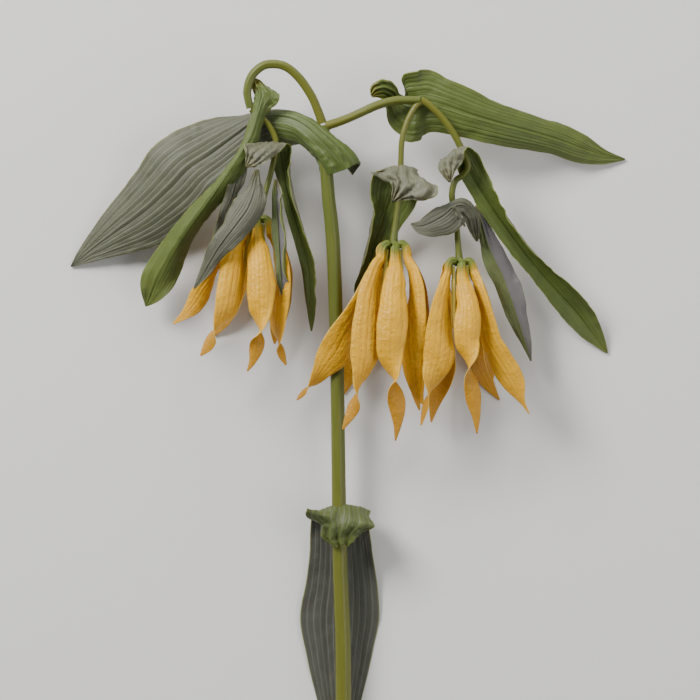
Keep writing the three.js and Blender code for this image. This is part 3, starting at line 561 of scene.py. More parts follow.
def tube_tree() -> bpy.types.NodeTree:
    """Sweeps a round section along a stem's path, with ridges and small unevenness.

    Returns:
        A tree that turns a line of points with a radius into a closed tube.
    """
    tree = bpy.data.node_groups.new("stem_tube", "GeometryNodeTree")
    input_socket(tree, "Geometry", "NodeSocketGeometry")
    input_socket(tree, "Material", "NodeSocketMaterial")
    input_socket(tree, "Sides", "NodeSocketInt", 28)
    for name in ("Ridges", "Ridge depth", "Unevenness", "Seed"):
        input_socket(tree, name, "NodeSocketFloat", 0.0)
    source = add_node(tree, "NodeGroupInput")
    get = source.outputs
    path = add_node(tree, "GeometryNodeMeshToCurve", inputs={"Mesh": get["Geometry"]})
    place = add_node(tree, "GeometryNodeSplineParameter")
    geometry: object = path
    for name, output, scale in (("along", "Factor", 1.0), ("length_mm", "Length", 1000.0)):
        geometry = add_node(
            tree,
            "GeometryNodeStoreNamedAttribute",
            {"data_type": "FLOAT", "domain": "POINT"},
            {
                "Geometry": geometry,
                "Name": name,
                "Value": formula(tree, ("MULTIPLY", place.outputs[output], scale)),
            },
        )
    circle = add_node(
        tree,
        "GeometryNodeCurvePrimitiveCircle",
        inputs={"Resolution": get["Sides"], "Radius": 1.0},
    )
    ring = add_node(
        tree,
        "GeometryNodeStoreNamedAttribute",
        {"data_type": "FLOAT_VECTOR", "domain": "POINT"},
        {"Geometry": circle, "Name": "ring", "Value": add_node(tree, "GeometryNodeInputPosition")},
    )
    tube = add_node(
        tree,
        "GeometryNodeCurveToMesh",
        inputs={
            "Curve": geometry,
            "Profile Curve": ring,
            "Scale": named(tree, "radius"),
            "Fill Caps": True,
        },
    )
    spin = add_node(
        tree, "ShaderNodeSeparateXYZ", inputs={0: named(tree, "ring", "FLOAT_VECTOR")}
    )
    angle = ("ARCTAN2", spin.outputs[1], spin.outputs[0])
    ridge = ("COSINE", ("MULTIPLY", angle, get["Ridges"]))
    noise = add_node(
        tree,
        "ShaderNodeTexNoise",
        {"noise_dimensions": "4D"},
        {"W": get["Seed"], "Scale": 260.0, "Detail": 2.0},
    )
    rise = (
        "ADD",
        ("MULTIPLY", ridge, get["Ridge depth"]),
        ("MULTIPLY", ("SUBTRACT", noise, 0.5), get["Unevenness"]),
    )
    offset = add_node(
        tree,
        "ShaderNodeVectorMath",
        {"operation": "SCALE"},
        {0: add_node(tree, "GeometryNodeInputNormal"), "Scale": formula(tree, rise)},
    )
    moved = add_node(
        tree, "GeometryNodeSetPosition", inputs={"Geometry": tube, "Offset": offset}
    )
    finish_tree(tree, moved, source)
    return tree


def baked(mesh: bpy.types.Mesh, tree: bpy.types.NodeTree, values: dict) -> bpy.types.Mesh:
    """Runs a geometry tree over a mesh.

    Args:
        mesh: The mesh that the tree starts from. It is removed afterwards.
        tree: The geometry tree.
        values: Input name to value.

    Returns:
        The finished plain mesh.
    """
    rough = bpy.data.objects.new("rough", mesh)
    bpy.context.scene.collection.objects.link(rough)
    modifier = rough.modifiers.new("shape", "NODES")
    modifier.node_group = tree
    for item in tree.interface.items_tree:
        if item.in_out == "INPUT" and item.name in values:
            modifier[item.identifier] = values[item.name]
    ready = rough.evaluated_get(bpy.context.evaluated_depsgraph_get())
    made = bpy.data.meshes.new_from_object(ready)
    bpy.data.objects.remove(rough)
    bpy.data.meshes.remove(mesh)
    return made


def face_outwards(mesh: bpy.types.Mesh) -> None:
    """Welds a closed mesh's seams and turns its faces outwards.

    Args:
        mesh: The mesh to mend.
    """
    work = bmesh.new()
    work.from_mesh(mesh)
    bmesh.ops.remove_doubles(work, verts=work.verts, dist=1e-6)
    bmesh.ops.recalc_face_normals(work, faces=work.faces)
    work.to_mesh(mesh)
    work.free()


def place_piece(mesh: bpy.types.Mesh, node: str) -> bpy.types.Object:
    """Puts a finished mesh in the scene for its CAD node.

    Args:
        mesh: The finished mesh, in the frame's own coordinates.
        node: The CAD node it stands for.

    Returns:
        The piece.
    """
    low, high = (np.array(corner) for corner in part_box(node))
    corners = np.empty(len(mesh.vertices) * 3, dtype=np.float32)
    mesh.vertices.foreach_get("co", corners)
    points = corners.reshape(-1, 3)
    drift = (low + high) / 2 - (points.min(axis=0) + points.max(axis=0)) / 2
    LOG.info("%s: %.2f %.2f %.2f mm off its node", node, *(drift / MM))
    piece = bpy.data.objects.new(f"look_{node}", mesh)
    bpy.context.scene.collection.objects.link(piece)
    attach(piece, "root")
    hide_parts(node)
    return piece


# ---- Blades: leaves and tepals ----


@dataclass(frozen=True)
class Relief:
    """How far a blade's surface leaves its smooth shape, in millimetres."""

    vein_count: float = 6.0
    vein_depth: float = 0.09
    fine_depth: float = 0.03
    midrib_depth: float = 0.25
    crumple: float = 2.6
    crumple_size: float = 4.0
    crumple_reach: float = 0.35
    fold_depth: float = 0.25
    fold_count: float = 2.0
    ruffle: float = 0.6
    ruffle_waves: float = 3.0

    def values(self, seed: float) -> dict:
        """Gives the relief tree its inputs.

        Args:
            seed: Makes each blade's noise its own.

        Returns:
            Input name to value.
        """
        return {
            "Vein count": self.vein_count,
            "Vein depth": self.vein_depth * MM,
            "Fine depth": self.fine_depth * MM,
            "Midrib depth": self.midrib_depth * MM,
            "Crumple": self.crumple * MM,
            "Crumple scale": 1000.0 / self.crumple_size,
            "Crumple reach": self.crumple_reach,
            "Fold depth": self.fold_depth * MM,
            "Fold count": self.fold_count,
            "Ruffle": self.ruffle * MM,
            "Ruffle waves": self.ruffle_waves,
            "Seed": seed,
        }


@dataclass
class Blade:
    """A leaf or a tepal, as rows of x, y, z, half width, roll, fold, curl and sweep.

    Roll turns the blade about its midrib, fold tilts its halves off the midrib, curl bends them
    and sweep draws their margins back towards the base. A pair of values is for the left and
    the right half. Rows run from base to tip, in millimetres and degrees.
    """

    node: str
    slot: str
    rows: list
    relief: Relief
    across: tuple | None = None
    thickness: float = 0.4
    detail: int = 12
    strips: int = 40
    ragged: float = 0.03
    seed: float = 0.0
    swell: float = 0.0

    def stations(self) -> np.ndarray:
        """Reads the rows at even steps.

        Returns:
            x, y, z, roll, and left and right width, fold, curl and sweep at each step.
        """
        flat = []
        for x, y, z, *shape in self.rows:
            width, roll, fold, curl, sweep = (*shape, 0, 0, 0, 0)[:5]
            halves = [v if isinstance(v, list) else [v, v] for v in (width, fold, curl, sweep)]
            flat.append([x, y, z, roll, *halves[0], *halves[1], *halves[2], *halves[3]])
        return smooth_rows(np.array(flat, dtype=float), (len(flat) - 1) * self.detail)

    def sheet(self) -> tuple[np.ndarray, np.ndarray]:
        """Lays out the blade's middle surface.

        Returns:
            Its points and its normals, by station and by place across.
        """
        rows = self.stations()
        points, tangents = rows[:, :3], unit(np.gradient(rows[:, :3], axis=0))
        guide = np.array(self.across if self.across else (0.0, 0.0, 1.0))
        if self.across:
            side = guide - tangents * (tangents @ guide)[:, None]
        else:
            side = np.cross(tangents, guide)
        side = unit(side)
        roll = np.radians(rows[:, 3])[:, None]
        normal = np.cross(side, tangents)
        side, normal = (
            side * np.cos(roll) + np.cross(tangents, side) * np.sin(roll),
            normal * np.cos(roll) + np.cross(tangents, normal) * np.sin(roll),
        )
        travel = np.linspace(0, 1, len(rows))
        halves = []
        for h, sign in ((0, 1.0), (1, -1.0)):
            wobble = np.sin(travel * 23 + self.seed * 5 + h) + np.sin(travel * 51 + self.seed * 3)
            width = np.maximum(rows[:, 4 + h], LEAST_HALF_WIDTH) * (1 + self.ragged * wobble / 2)
            step = (np.arange(self.strips) + 0.5) / self.strips
            angle = np.radians(rows[:, 6 + h][:, None] + rows[:, 8 + h][:, None] * step)
            stride = (width / self.strips)[:, None]
            out = np.cumsum(np.cos(angle) * stride, axis=1)
            up = np.cumsum(np.sin(angle) * stride, axis=1)
            back = rows[:, 10 + h][:, None] * width[:, None] * step**1.5
            halves.append(
                points[:, None]
                + sign * out[..., None] * side[:, None]
                + up[..., None] * normal[:, None]
                - back[..., None] * tangents[:, None]
            )
        grid = np.concatenate([halves[0][:, ::-1], points[:, None], halves[1]], axis=1)
        facing = np.cross(np.gradient(grid, axis=0), np.gradient(grid, axis=1))
        return grid, unit(facing)

    def build(self, tree: bpy.types.NodeTree, material: bpy.types.Material) -> bpy.types.Object:
        """Makes the blade as one closed thin solid and puts it in place.

        Args:
            tree: The relief tree.
            material: The blade's finish.

        Returns:
            The piece.
        """
        grid, facing = self.sheet()
        stations, places = grid.shape[:2]
        across = np.broadcast_to(np.linspace(-1, 1, places), (stations, places))
        along = np.broadcast_to(np.linspace(0, 1, stations)[:, None], (stations, places))
        thick = self.thickness * (1 - 0.6 * np.abs(across) ** 3)
        thick = thick + self.swell * np.exp(-((along / 0.05) ** 2)) * (1 - across**2)
        upper = grid + facing * thick[..., None] / 2
        lower = grid - facing * thick[..., None] / 2
        points = np.concatenate([upper.reshape(-1, 3), lower.reshape(-1, 3)]) * MM
        count = stations * places
        index = np.arange(count).reshape(stations, places)
        a, b = index[:-1, :-1], index[1:, :-1]
        c, d = index[1:, 1:], index[:-1, 1:]
        top = np.stack([a, b, c, d], axis=-1).reshape(-1, 4)
        bottom = top[:, ::-1] + count
        rim = np.concatenate([index[:, 0], index[-1, 1:], index[-2::-1, -1], index[0, -2:0:-1]])
        after = np.roll(rim, -1)
        wall = np.stack([rim, rim + count, after + count, after], axis=-1)
        faces = np.concatenate([top, bottom, wall])
        mesh = bpy.data.meshes.new(self.node)
        mesh.from_pydata(points.tolist(), [], faces.tolist())
        uv = mesh.uv_layers.new(name="blade")
        loops = faces.reshape(-1) % count
        coords = np.stack([(across.reshape(-1)[loops] + 1) / 2, along.reshape(-1)[loops]], axis=-1)
        uv.data.foreach_set("uv", coords.reshape(-1).astype(np.float32))
        for name, values in (
            ("across", np.tile(across.reshape(-1), 2)),
            ("along", np.tile(along.reshape(-1), 2)),
            ("underside", np.repeat([0.0, 1.0], count)),
        ):
            layer = mesh.attributes.new(name, "FLOAT", "POINT")
            layer.data.foreach_set("value", values.astype(np.float32))
        layer = mesh.attributes.new("sheet", "FLOAT_VECTOR", "POINT")
        layer.data.foreach_set("vector", np.tile(facing.reshape(-1), 2).astype(np.float32))
        face_outwards(mesh)
        made = baked(mesh, tree, {"Material": material, **self.relief.values(self.seed)})
        self.rest_on_table(made)
        return place_piece(made, self.node)

    def rest_on_table(self, mesh: bpy.types.Mesh) -> None:
        """Lifts what would sink into the table, keeping the blade's two skins apart.

        Args:
            mesh: The finished blade.
        """
        points = np.empty(len(mesh.vertices) * 3, dtype=np.float32)
        mesh.vertices.foreach_get("co", points)
        points = points.reshape(-1, 3)
        under = np.empty(len(mesh.vertices), dtype=np.float32)
        mesh.attributes["underside"].data.foreach_get("value", under)
        depth = self.thickness * MM * 0.6
        sinks = points[:, 2] < depth
        points[sinks, 2] = np.where(under[sinks] > 0.5, np.maximum(points[sinks, 2], 0), depth)
        mesh.vertices.foreach_set("co", points.reshape(-1))
        mesh.update()


# ---- Stems, stamens and pistils ----


@dataclass
class Tube:
    """A stem, stamen or pistil, as rows of x, y, z and radius in millimetres.

    Reach lengthens both ends, so that no gap shows at a joint.
    """

    node: str
    slot: str
    rows: list
    sides: int = 28
    detail: int = 10
    ridges: float = 0.0
    ridge_depth: float = 0.0
    unevenness: float = 0.12
    seed: float = 0.0
    reach: float = 0.0

    def build(self, tree: bpy.types.NodeTree, material: bpy.types.Material) -> bpy.types.Object:
        """Makes the tube and puts it in place.

        Args:
            tree: The tube tree.
            material: The tube's finish.

        Returns:
            The piece.
        """
        rows = smooth_rows(np.array(self.rows, dtype=float), (len(self.rows) - 1) * self.detail)
        for end, beside in ((0, 1), (-1, -2)):
            rows[end, :3] += unit(rows[end, :3] - rows[beside, :3]) * self.reach
        mesh = bpy.data.meshes.new(self.node)
        edges = [(k, k + 1) for k in range(len(rows) - 1)]
        mesh.from_pydata((rows[:, :3] * MM).tolist(), edges, [])
        layer = mesh.attributes.new("radius", "FLOAT", "POINT")
        layer.data.foreach_set("value", (rows[:, 3] * MM).astype(np.float32))
        values = {
            "Material": material,
            "Sides": self.sides,
            "Ridges": self.ridges,
            "Ridge depth": self.ridge_depth * MM,
            "Unevenness": self.unevenness * MM,
            "Seed": self.seed,
        }
        made = baked(mesh, tree, values)
        for vertex in made.vertices:
            vertex.co.z = max(vertex.co.z, 0.0)
        face_outwards(made)
        return place_piece(made, self.node)


# ---- The shoot's own sizes ----

# Finishes. Colours are what the eye sees on each side of the fresh plant, except the tepals' darker inner
# face, which is painted shade.
LEAF_GREEN = BladeFinish(
    name="green leaf",
    base="#84803a",
    body="#56632a",
    tip="#646f31",
    under_base="#8d8a68",
    under_body="#6b6a55",
    under_tip="#6d6e4c",
    vein="#39441c",
    margin="#86903c",
    vein_count=6.0,
    vein_strength=0.22,
    margin_width=0.02,
    roughness=0.48,
    subsurface=0.12,
)
LEAF_GREY = BladeFinish(
    name="grey green leaf underside",
    base="#85835f",
    body="#555646",
    tip="#5d5d4b",
    under_base="#7d8038",
    under_body="#4f5a26",
    under_tip="#5f6a2c",
    vein="#8f8f76",
    margin="#7f8440",
    vein_count=6.0,
    vein_strength=0.28,
    margin_width=0.02,
    roughness=0.55,
    subsurface=0.1,
)
LOWER_LEAF = replace(
    LEAF_GREY,
    name="grey leaf with green collar",
    base="#4d4e41",
    body="#4a4b41",
    tip="#56574a",
    under_base="#6f7a33",
    vein="#7d7b72",
    vein_strength=0.3,
)
TWO_TONE_LEAF = replace(
    LEAF_GREY,
    name="folded leaf in green and lilac grey",
    body="#6b6769",
    tip="#66635f",
    under_body="#5a682b",
    split=0.85,
)
FORK_LEAF = BladeFinish(
    name="green leaf with grey blade",
    base="#4f6026",
    body="#50523f",
    tip="#585946",
    under_base="#39421e",
    under_body="#4f5a26",
    under_tip="#5f6a2c",
    vein="#8f8f78",
    margin="#7f8440",
    vein_count=7.0,
    vein_strength=0.3,
    margin_width=0.02,
    roughness=0.52,
    subsurface=0.1,
    base_hold=0.4,
    base_reach=0.47,
    tip_reach=0.9,
)
TEPAL = BladeFinish(
    name="golden tepal",
    base="#66742a",
    body="#dfa81a",
    tip="#dba32a",
    under_base="#8a8430",
    # The inner face's body and tip are a darker, browner gold: painted shade inside the bell.
    under_body="#bd8616",
    under_tip="#b8851c",
    vein="#b07c10",
    margin="#f2ca5e",
    vein_count=3.0,
    vein_strength=0.16,
    margin_width=0.01,
    roughness=0.45,
    subsurface=0.2,
    base_reach=0.2,
    tip_reach=0.7,
    base_hold=0.09,
    streak_reach=0.34,
    crinkle=6.0,
)
STEM = RoundFinish(
    name="green stem",
    start="#66651e",
    end="#566024",
    streak="#76782f",
    streak_amount=0.35,
    roughness=0.42,
)
ANTHER = RoundFinish(
    name="yellow anther",
    start="#b8b552",
    end="#d9b840",
    streak="#e8cf6a",
    streak_amount=0.5,
    roughness=0.7,
    grain=0.8,
)
PISTIL = RoundFinish(
    name="yellow green pistil",
    start="#8e9a45",
    end="#c9c268",
    streak="#b5b35a",
    streak_amount=0.4,
    roughness=0.5,
)

CUT_RADIUS = 2.05
STEM_RADIUS = 1.75
BRANCH_RADIUS = 1.1
PEDICEL_RADIUS = 0.72
RECEPTACLE_RADIUS = 1.25

STEM_ROWS = {
    "main_stem": [
        [-0.9, -96.3, 1.9, CUT_RADIUS],
        [-1.1, -74, 3.4, 2.0],
        [-1.2, -51.3, 5.1, 1.95],
        [-2.0, -28.8, 6.7, 1.85],
        [-2.4, -1.3, 8.5, STEM_RADIUS],
        [-2.8, 23.8, 10.2, STEM_RADIUS],
        [-3.6, 48.8, 11.9, STEM_RADIUS],
        [-4.9, 63, 13, 1.65],
        [-6.1, 79.9, 14, 1.5],
    ],
    "left_branch": [
        [-6.5, 80.9, 14.1, 1.15],
        [-7.4, 83.3, 14.4, BRANCH_RADIUS],
        [-9.1, 87.2, 14.8, BRANCH_RADIUS],
        [-11.9, 91.3, 15.2, BRANCH_RADIUS],
        [-15.0, 94.1, 15.6, BRANCH_RADIUS],
        [-18.1, 95.0, 15.8, BRANCH_RADIUS],
        [-21.2, 94.5, 15.8, BRANCH_RADIUS],
        [-23.9, 92.0, 15.6, BRANCH_RADIUS],
        [-25.0, 88.2, 15.3, 1.05],
        [-24.4, 84.6, 15.0, 0.95],
    ],
    "left_pedicel": [
        [-23.7, 83.6, 14.8, 0.8],
        [-22.1, 82.2, 14.6, 0.75],
        [-20.2, 80.6, 14.4, PEDICEL_RADIUS],
        [-18.5, 77.9, 14.2, PEDICEL_RADIUS],
        [-17.8, 74.8, 14.1, PEDICEL_RADIUS],
        [-18.9, 69.0, 14, PEDICEL_RADIUS],
        [-20.7, 62.6, 14, PEDICEL_RADIUS],
        [-22.2, 57.4, 14, 0.95],
        [-22.6, 55.8, 14, RECEPTACLE_RADIUS],
    ],
    "right_branch": [
        [-5.0, 79.9, 14.1, 1.15],
        [-0.6, 81.4, 14.2, BRANCH_RADIUS],
        [3.1, 83.0, 14.3, BRANCH_RADIUS],
        [7.6, 85.0, 14.4, BRANCH_RADIUS],
        [12.1, 86.1, 14.5, BRANCH_RADIUS],
        [17.6, 86.2, 14.5, 1.0],
    ],
    "middle_pedicel": [
        [18.1, 85.7, 14.4, 0.75],
        [16.7, 84.2, 14.6, PEDICEL_RADIUS],
        [14.9, 80.7, 14.7, PEDICEL_RADIUS],
        [13.6, 76.0, 14.6, PEDICEL_RADIUS],
        [13.3, 69.8, 14.4, PEDICEL_RADIUS],
        [12.8, 61.3, 14.1, PEDICEL_RADIUS],
        [12.0, 55.0, 14, 0.8],
        [11.6, 51.3, 14, 1.0],
        [11.6, 49.5, 14, RECEPTACLE_RADIUS],
    ],
    "right_branchlet": [
        [18.9, 86.0, 14.4, 0.9],
        [20.8, 84.6, 14.6, 0.85],
        [23.6, 81.8, 14.8, 0.85],
        [26.6, 77.6, 14.9, 0.85],
        [28.9, 72.9, 14.8, 0.85],
        [30.0, 69.6, 14.6, 0.85],
        [28.9, 67.5, 14.5, 0.8],
        [26.9, 65.9, 14.4, 0.8],
        [26.1, 62.8, 14.2, 0.8],
        [26.4, 59.8, 14.1, 0.8],
    ],
    "right_pedicel": [
        [26.6, 59.2, 14.1, 0.75],
        [27.2, 56.0, 14, PEDICEL_RADIUS],
        [27.5, 52.0, 14, PEDICEL_RADIUS],
        [27.8, 48.0, 14, 0.85],
        [28.1, 45.3, 14, RECEPTACLE_RADIUS],
    ],
}

# A tepal's pouch: distance from the flower's axis, place along it, half width and curl.
POUCH = [
    [1.5, 0.3, 1.0, -60],
    [2.3, 0.2, 1.7, -100],
    [2.9, -0.9, 2.1, -120],
    [3.1, -2.2, 2.0, -110],
    [3.6, -3.6, 2.1, -90],
]

TEPAL_ROWS = {
    "left": [
        [
            [0, -1.8, 3.2, 1.5, 0, 0, -60],
            [0.3, -5.8, 5.2, 2.8, 0, 0, -50],
            [0.8, -10, 6.6, 3.4, 0, 0, -45],
            [1, -14.5, 7.4, 3.8, 0, 0, -40],
            [1, -18.8, 7.6, 3.6, 0, 0, -35],
            [1, -22, 7.4, 3.0, 10, 0, -30],
            [1, -24.5, 7.0, 2.4, 40, 0, -20],
            [0.9, -27.3, 6.5, 2.0, 90, 0, 0],
            [0.4, -30, 6, 2.0, 150, 0, 15],
            [-0.3, -32.5, 5.5, 1.6, 175, 0, 20],
            [-1.1, -35, 5, 0.9, 180, 0, 20],
            [-2.3, -37.3, 4.5, 0.2, 180, 0, 0],
        ],
        [
            [-2.4, -1.9, 2.0, 1.5, -50, 0, -60],
            [-4.2, -5.8, 3.8, 2.8, -40, 0, -50],
            [-5.2, -10, 5, 3.6, -30, 0, -45],
            [-5.8, -14, 5.6, 3.8, -25, 0, -40],
            [-6.5, -18.3, 5.8, 3.6, -25, 0, -35],
            [-7.3, -22, 5.5, 3.2, -30, 0, -30],
            [-8.8, -25, 5, 2.6, -50, 0, -20],
            [-10.3, -27.3, 4.5, 2.1, -90, 0, 0],
            [-11.3, -29.5, 4, 1.9, -140, 0, 10],
            [-12.5, -31.5, 3.5, 1.3, -160, 0, 10],
            [-14, -33.5, 3, 0.2, -170, 0, 0],
        ],
        [
            [-2.9, -2.4, -0.6, 1.4, -95, 0, -60],
            [-5.5, -6, -1, 2.4, -90, 0, -50],
            [-8.3, -9.5, -0.8, 2.4, -80, 0, -50],
            [-10.8, -13, -0.4, 2.2, -60, 0, -50],
            [-12.8, -16, -0.6, 2.4, -30, 0, -40],
            [-14.4, -18.6, -1.2, 2.6, -10, 0, -30],
            [-16.1, -21, -2, 2.3, 0, 0, -20],
            [-18.4, -23.3, -3, 1.2, 10, 0, -10],
            [-21.3, -25.5, -4, 0.2, 20, 0, 0],
        ],
        [
            [2.4, -1.9, 1.8, 1.5, 55, 0, -60],
            [4.4, -5.8, 2.6, 2.6, 65, 0, -50],
            [5.6, -10.8, 3.2, 3.2, 65, 0, -45],
            [5.8, -15.8, 3.2, 3.4, 55, 0, -40],
            [5.2, -20.8, 3, 3.2, 40, 0, -30],
            [5, -24.5, 2.8, 2.8, 40, 0, -20],
            [5.2, -27.8, 2.6, 2.2, 60, 0, -10],
            [5.5, -30.3, 2.3, 1.7, 90, 0, 0],
            [5.8, -32, 2, 1.3, 130, 0, 0],
            [6.4, -33.8, 2, 0.9, 150, 0, 0],
            [7.3, -35.8, 2, 0.2, 160, 0, 0],
        ],
        [
            [2.6, -2.3, -1.6, 1.5, 120, 0, -60],
            [4.6, -6.8, -3.4, 2.8, 125, 0, -50],
            [5.6, -12, -5, 3.4, 130, 0, -45],
            [5.6, -17, -6.2, 3.6, 130, 0, -40],
            [5, -22, -7, 3.2, 135, 0, -35],
            [4.4, -26, -7.4, 2.2, 140, 0, -30],
            [4.2, -30.5, -7.6, 0.2, 150, 0, 0],
        ],
        [
            [-1, -2.2, -3, 1.5, 190, 0, -60],
            [-3, -7, -6.4, 2.8, 195, 0, -50],
            [-5, -13, -9.4, 3.6, 200, 0, -40],
            [-7, -19, -11.4, 3.6, 200, 0, -30],
            [-9, -24, -12.8, 2.4, 195, 0, -20],
            [-11.3, -28.5, -13.5, 0.2, 190, 0, 0],
        ],
    ],
    "middle": [
        [
            [0.2, -1.9, 3.2, 1.8, 0, 0, -70],
            [0.3, -5, 4.8, 2.4, 0, 0, -60],
            [0.1, -8, 6, 3.0, 0, 0, -50],
            [-0.3, -12, 7.2, 3.6, 0, 0, -45],
            [-0.5, -17, 8, 4.0, 0, 0, -40],
            [-0.8, -22, 8, 3.9, 0, 0, -35],
            [-1, -25.8, 7.5, 3.4, 0, 0, -30],
            [-0.8, -28.8, 7, 2.8, 20, 0, -20],
            [-0.5, -31, 6.5, 2.4, 50, 0, -10],
            [0, -33.3, 6, 2.2, 90, 0, 0],
            [0.2, -36, 6, 2.2, 140, 0, 10],
            [0.6, -39, 5.5, 2.2, 170, 0, 20],
            [0.8, -41.8, 5, 1.8, 180, 0, 20],
            [0.8, -44.5, 4.5, 1.0, 180, 0, 10],
            [0.3, -48.3, 4, 0.2, 180, 0, 0],
        ],
        [
            [-2.4, -2, 2, 1.7, -50, 0, -70],
            [-3.8, -5, 3.2, 2.4, -45, 0, -60],
            [-4.8, -8.3, 4.2, 3.0, -40, 0, -50],
            [-5.8, -12.5, 5.2, 3.6, -30, 0, -45],
            [-6.3, -17, 5.8, 3.8, -25, 0, -40],
            [-6.6, -21.3, 6, 4.0, -20, 0, -35],
            [-7, -27, 6, 3.9, -20, 0, -30],
            [-7.8, -30.8, 5.6, 3.0, -30, 0, -20],
            [-8.8, -34, 5.2, 2.2, -60, 0, -10],
            [-9.3, -36.8, 4.7, 1.9, -100, 0, 0],
            [-10, -39.3, 4.3, 1.9, -140, 0, 10],
            [-10.8, -41.5, 4, 1.5, -160, 0, 10],
            [-12.8, -45.5, 3.5, 0.2, -170, 0, 0],
        ],
        [
            [-3.2, -2.8, -0.4, 1.6, -95, 0, -70],
            [-5.8, -7, -0.6, 2.6, -85, 0, -55],
            [-7.6, -12, -0.4, 3.2, -75, 0, -50],
            [-9.6, -17, 0, 3.8, -55, 0, -40],
            [-12.3, -22, 0.2, 4.2, -30, 0, -30],
            [-14.3, -26, 0, 4.4, -15, 0, -20],
            [-16.5, -28.8, -0.6, 3.6, -10, 0, -10],
            [-18.3, -31.3, -1.2, 2.4, -20, 0, 0],
            [-20.3, -34, -1.8, 1.6, -60, 0, 0],
            [-22.3, -36, -2.4, 1.2, -120, 0, 0],
            [-24.3, -38.3, -3, 0.2, -150, 0, 0],
        ],
        [
            [2.4, -2.2, 1.8, 1.7, 55, 0, -70],
            [4, -6.5, 2.4, 2.8, 60, 0, -55],
            [4.6, -11, 2.8, 3.4, 55, 0, -50],
            [4.6, -16, 3, 3.8, 45, 0, -40],
            [4.4, -21, 3, 3.8, 35, 0, -35],
            [4.6, -25, 2.8, 3.7, 25, 0, -30],
            [5, -28.5, 2.4, 3.4, 15, 0, -25],
            [5.2, -31.8, 2, 2.9, 10, 0, -20],
            [5.6, -35, 1.6, 2.0, 10, 0, -10],
            [6.4, -37.5, 1.2, 1.1, 20, 0, 0],
            [7.5, -39.5, 1, 0.2, 30, 0, 0],
        ],
        [
            [2.7, -2.6, -1.6, 1.6, 120, 0, -70],
            [4.5, -6.8, -3.2, 2.8, 125, 0, -55],
            [5.4, -11.5, -4.8, 3.5, 130, 0, -45],
            [5.8, -16.5, -6, 3.8, 130, 0, -40],
            [5.8, -21.5, -6.8, 3.6, 135, 0, -35],
            [5.6, -27, -7.4, 3.0, 140, 0, -25],
            [5.4, -32, -7.8, 2.2, 150, 0, -15],
            [5.8, -37, -8.2, 1.2, 160, 0, 0],
            [6.6, -41, -8.6, 0.2, 170, 0, 0],
        ],
        [
            [-1, -2.4, -3.1, 1.6, 190, 0, -70],
            [-2.8, -7, -5.2, 2.8, 195, 0, -50],
            [-4.6, -13, -7, 3.6, 195, 0, -40],
            [-6.6, -19, -9, 3.8, 195, 0, -30],
            [-8.8, -25, -11, 3.6, 190, 0, -20],
            [-10.5, -30, -12.4, 2.6, 185, 0, -10],
            [-11.5, -34, -13.2, 1.2, 185, 0, 0],
            [-12.5, -37, -13.5, 0.2, 180, 0, 0],
        ],
    ],
    "right": [
        [
            [0.2, -2.2, 3.2, 1.7, 10, 0, -65],
            [0.6, -5.8, 5, 2.4, 10, 0, -55],
            [1.4, -9.5, 6.4, 3.0, 10, 0, -50],
            [1.7, -12.8, 7.2, 3.4, 5, 0, -40],
            [1.6, -16.5, 7.6, 3.5, 0, 0, -35],
            [1.5, -19.8, 7.4, 3.2, 0, 0, -30],
            [1.8, -22.8, 7, 2.6, 30, 0, -20],
            [2, -26, 6.5, 2.2, 90, 0, 0],
            [2.5, -29, 6.2, 2.1, 140, 0, 10],
            [3, -32, 5.8, 2.1, 170, 0, 20],
            [3.3, -34.8, 5.4, 1.8, 180, 0, 20],
            [3.8, -37.8, 5, 1.1, 180, 0, 10],
            [4, -42.3, 4.4, 0.2, 180, 0, 0],
        ],
        [
            [-2.4, -2.2, 1.8, 1.6, -55, 0, -65],
            [-3.2, -5.3, 2.8, 2.4, -50, 0, -55],
            [-4, -9, 3.8, 3.0, -45, 0, -50],
            [-4.5, -13, 4.6, 3.6, -35, 0, -40],
            [-4.8, -17, 5, 3.9, -25, 0, -35],
            [-5, -20.5, 5.2, 4.1, -15, 0, -30],
            [-5.5, -24, 5, 4.0, -10, 0, -25],
            [-6.5, -27, 4.6, 3.2, -15, 0, -15],
            [-7.3, -30, 4.2, 2.3, -40, 0, -5],
            [-8, -33, 3.8, 1.6, -90, 0, 0],
            [-8.8, -36, 3.4, 1.2, -130, 0, 0],
            [-9.8, -40.3, 3, 0.2, -150, 0, 0],
        ],
        [
            [2.5, -2.2, 1.4, 1.6, 60, 0, -65],
            [3.9, -6, 2, 2.6, 65, 0, -55],
            [5, -10.5, 2.4, 3.2, 60, 0, -45],
            [6, -15, 2.6, 3.3, 50, 0, -40],
            [7.2, -19.5, 2.6, 3.3, 35, 0, -35],
            [8.8, -22.5, 2.4, 3.3, 25, 0, -30],
            [10.4, -25, 2, 3.3, 15, 0, -25],
            [12, -27.4, 1.6, 3.2, 10, 0, -20],
            [13.3, -29.6, 1.2, 2.9, 10, 0, -10],
            [14.3, -31.8, 0.8, 2.0, 20, 0, 0],
            [15.5, -34.5, 0.4, 0.9, 40, 0, 0],
            [17.3, -37.5, 0, 0.2, 60, 0, 0],
        ],
        [
            [-2.5, -2.6, -1.6, 1.5, -120, 0, -65],
            [-3, -7, -4, 2.8, -130, 0, -50],
            [-3.2, -13, -6, 3.4, -135, 0, -45],
            [-3.2, -19, -7.2, 3.6, -140, 0, -35],
            [-3.4, -25, -7.8, 3.4, -150, 0, -25],
            [-4.4, -30, -8, 2.6, -160, 0, -15],
            [-6, -34.5, -8, 1.6, -170, 0, 0],
            [-7, -39.8, -7.8, 0.2, -180, 0, 0],
        ],
        [
            [2.8, -2.6, -1.8, 1.5, 115, 0, -65],
            [4.4, -6, -3, 2.6, 120, 0, -50],
            [5.4, -10.5, -4.2, 3.2, 125, 0, -45],
            [6.2, -15, -5.2, 3.4, 125, 0, -35],
            [7, -20, -6, 3.0, 130, 0, -30],
            [7.7, -24.5, -6.6, 2.0, 140, 0, -15],
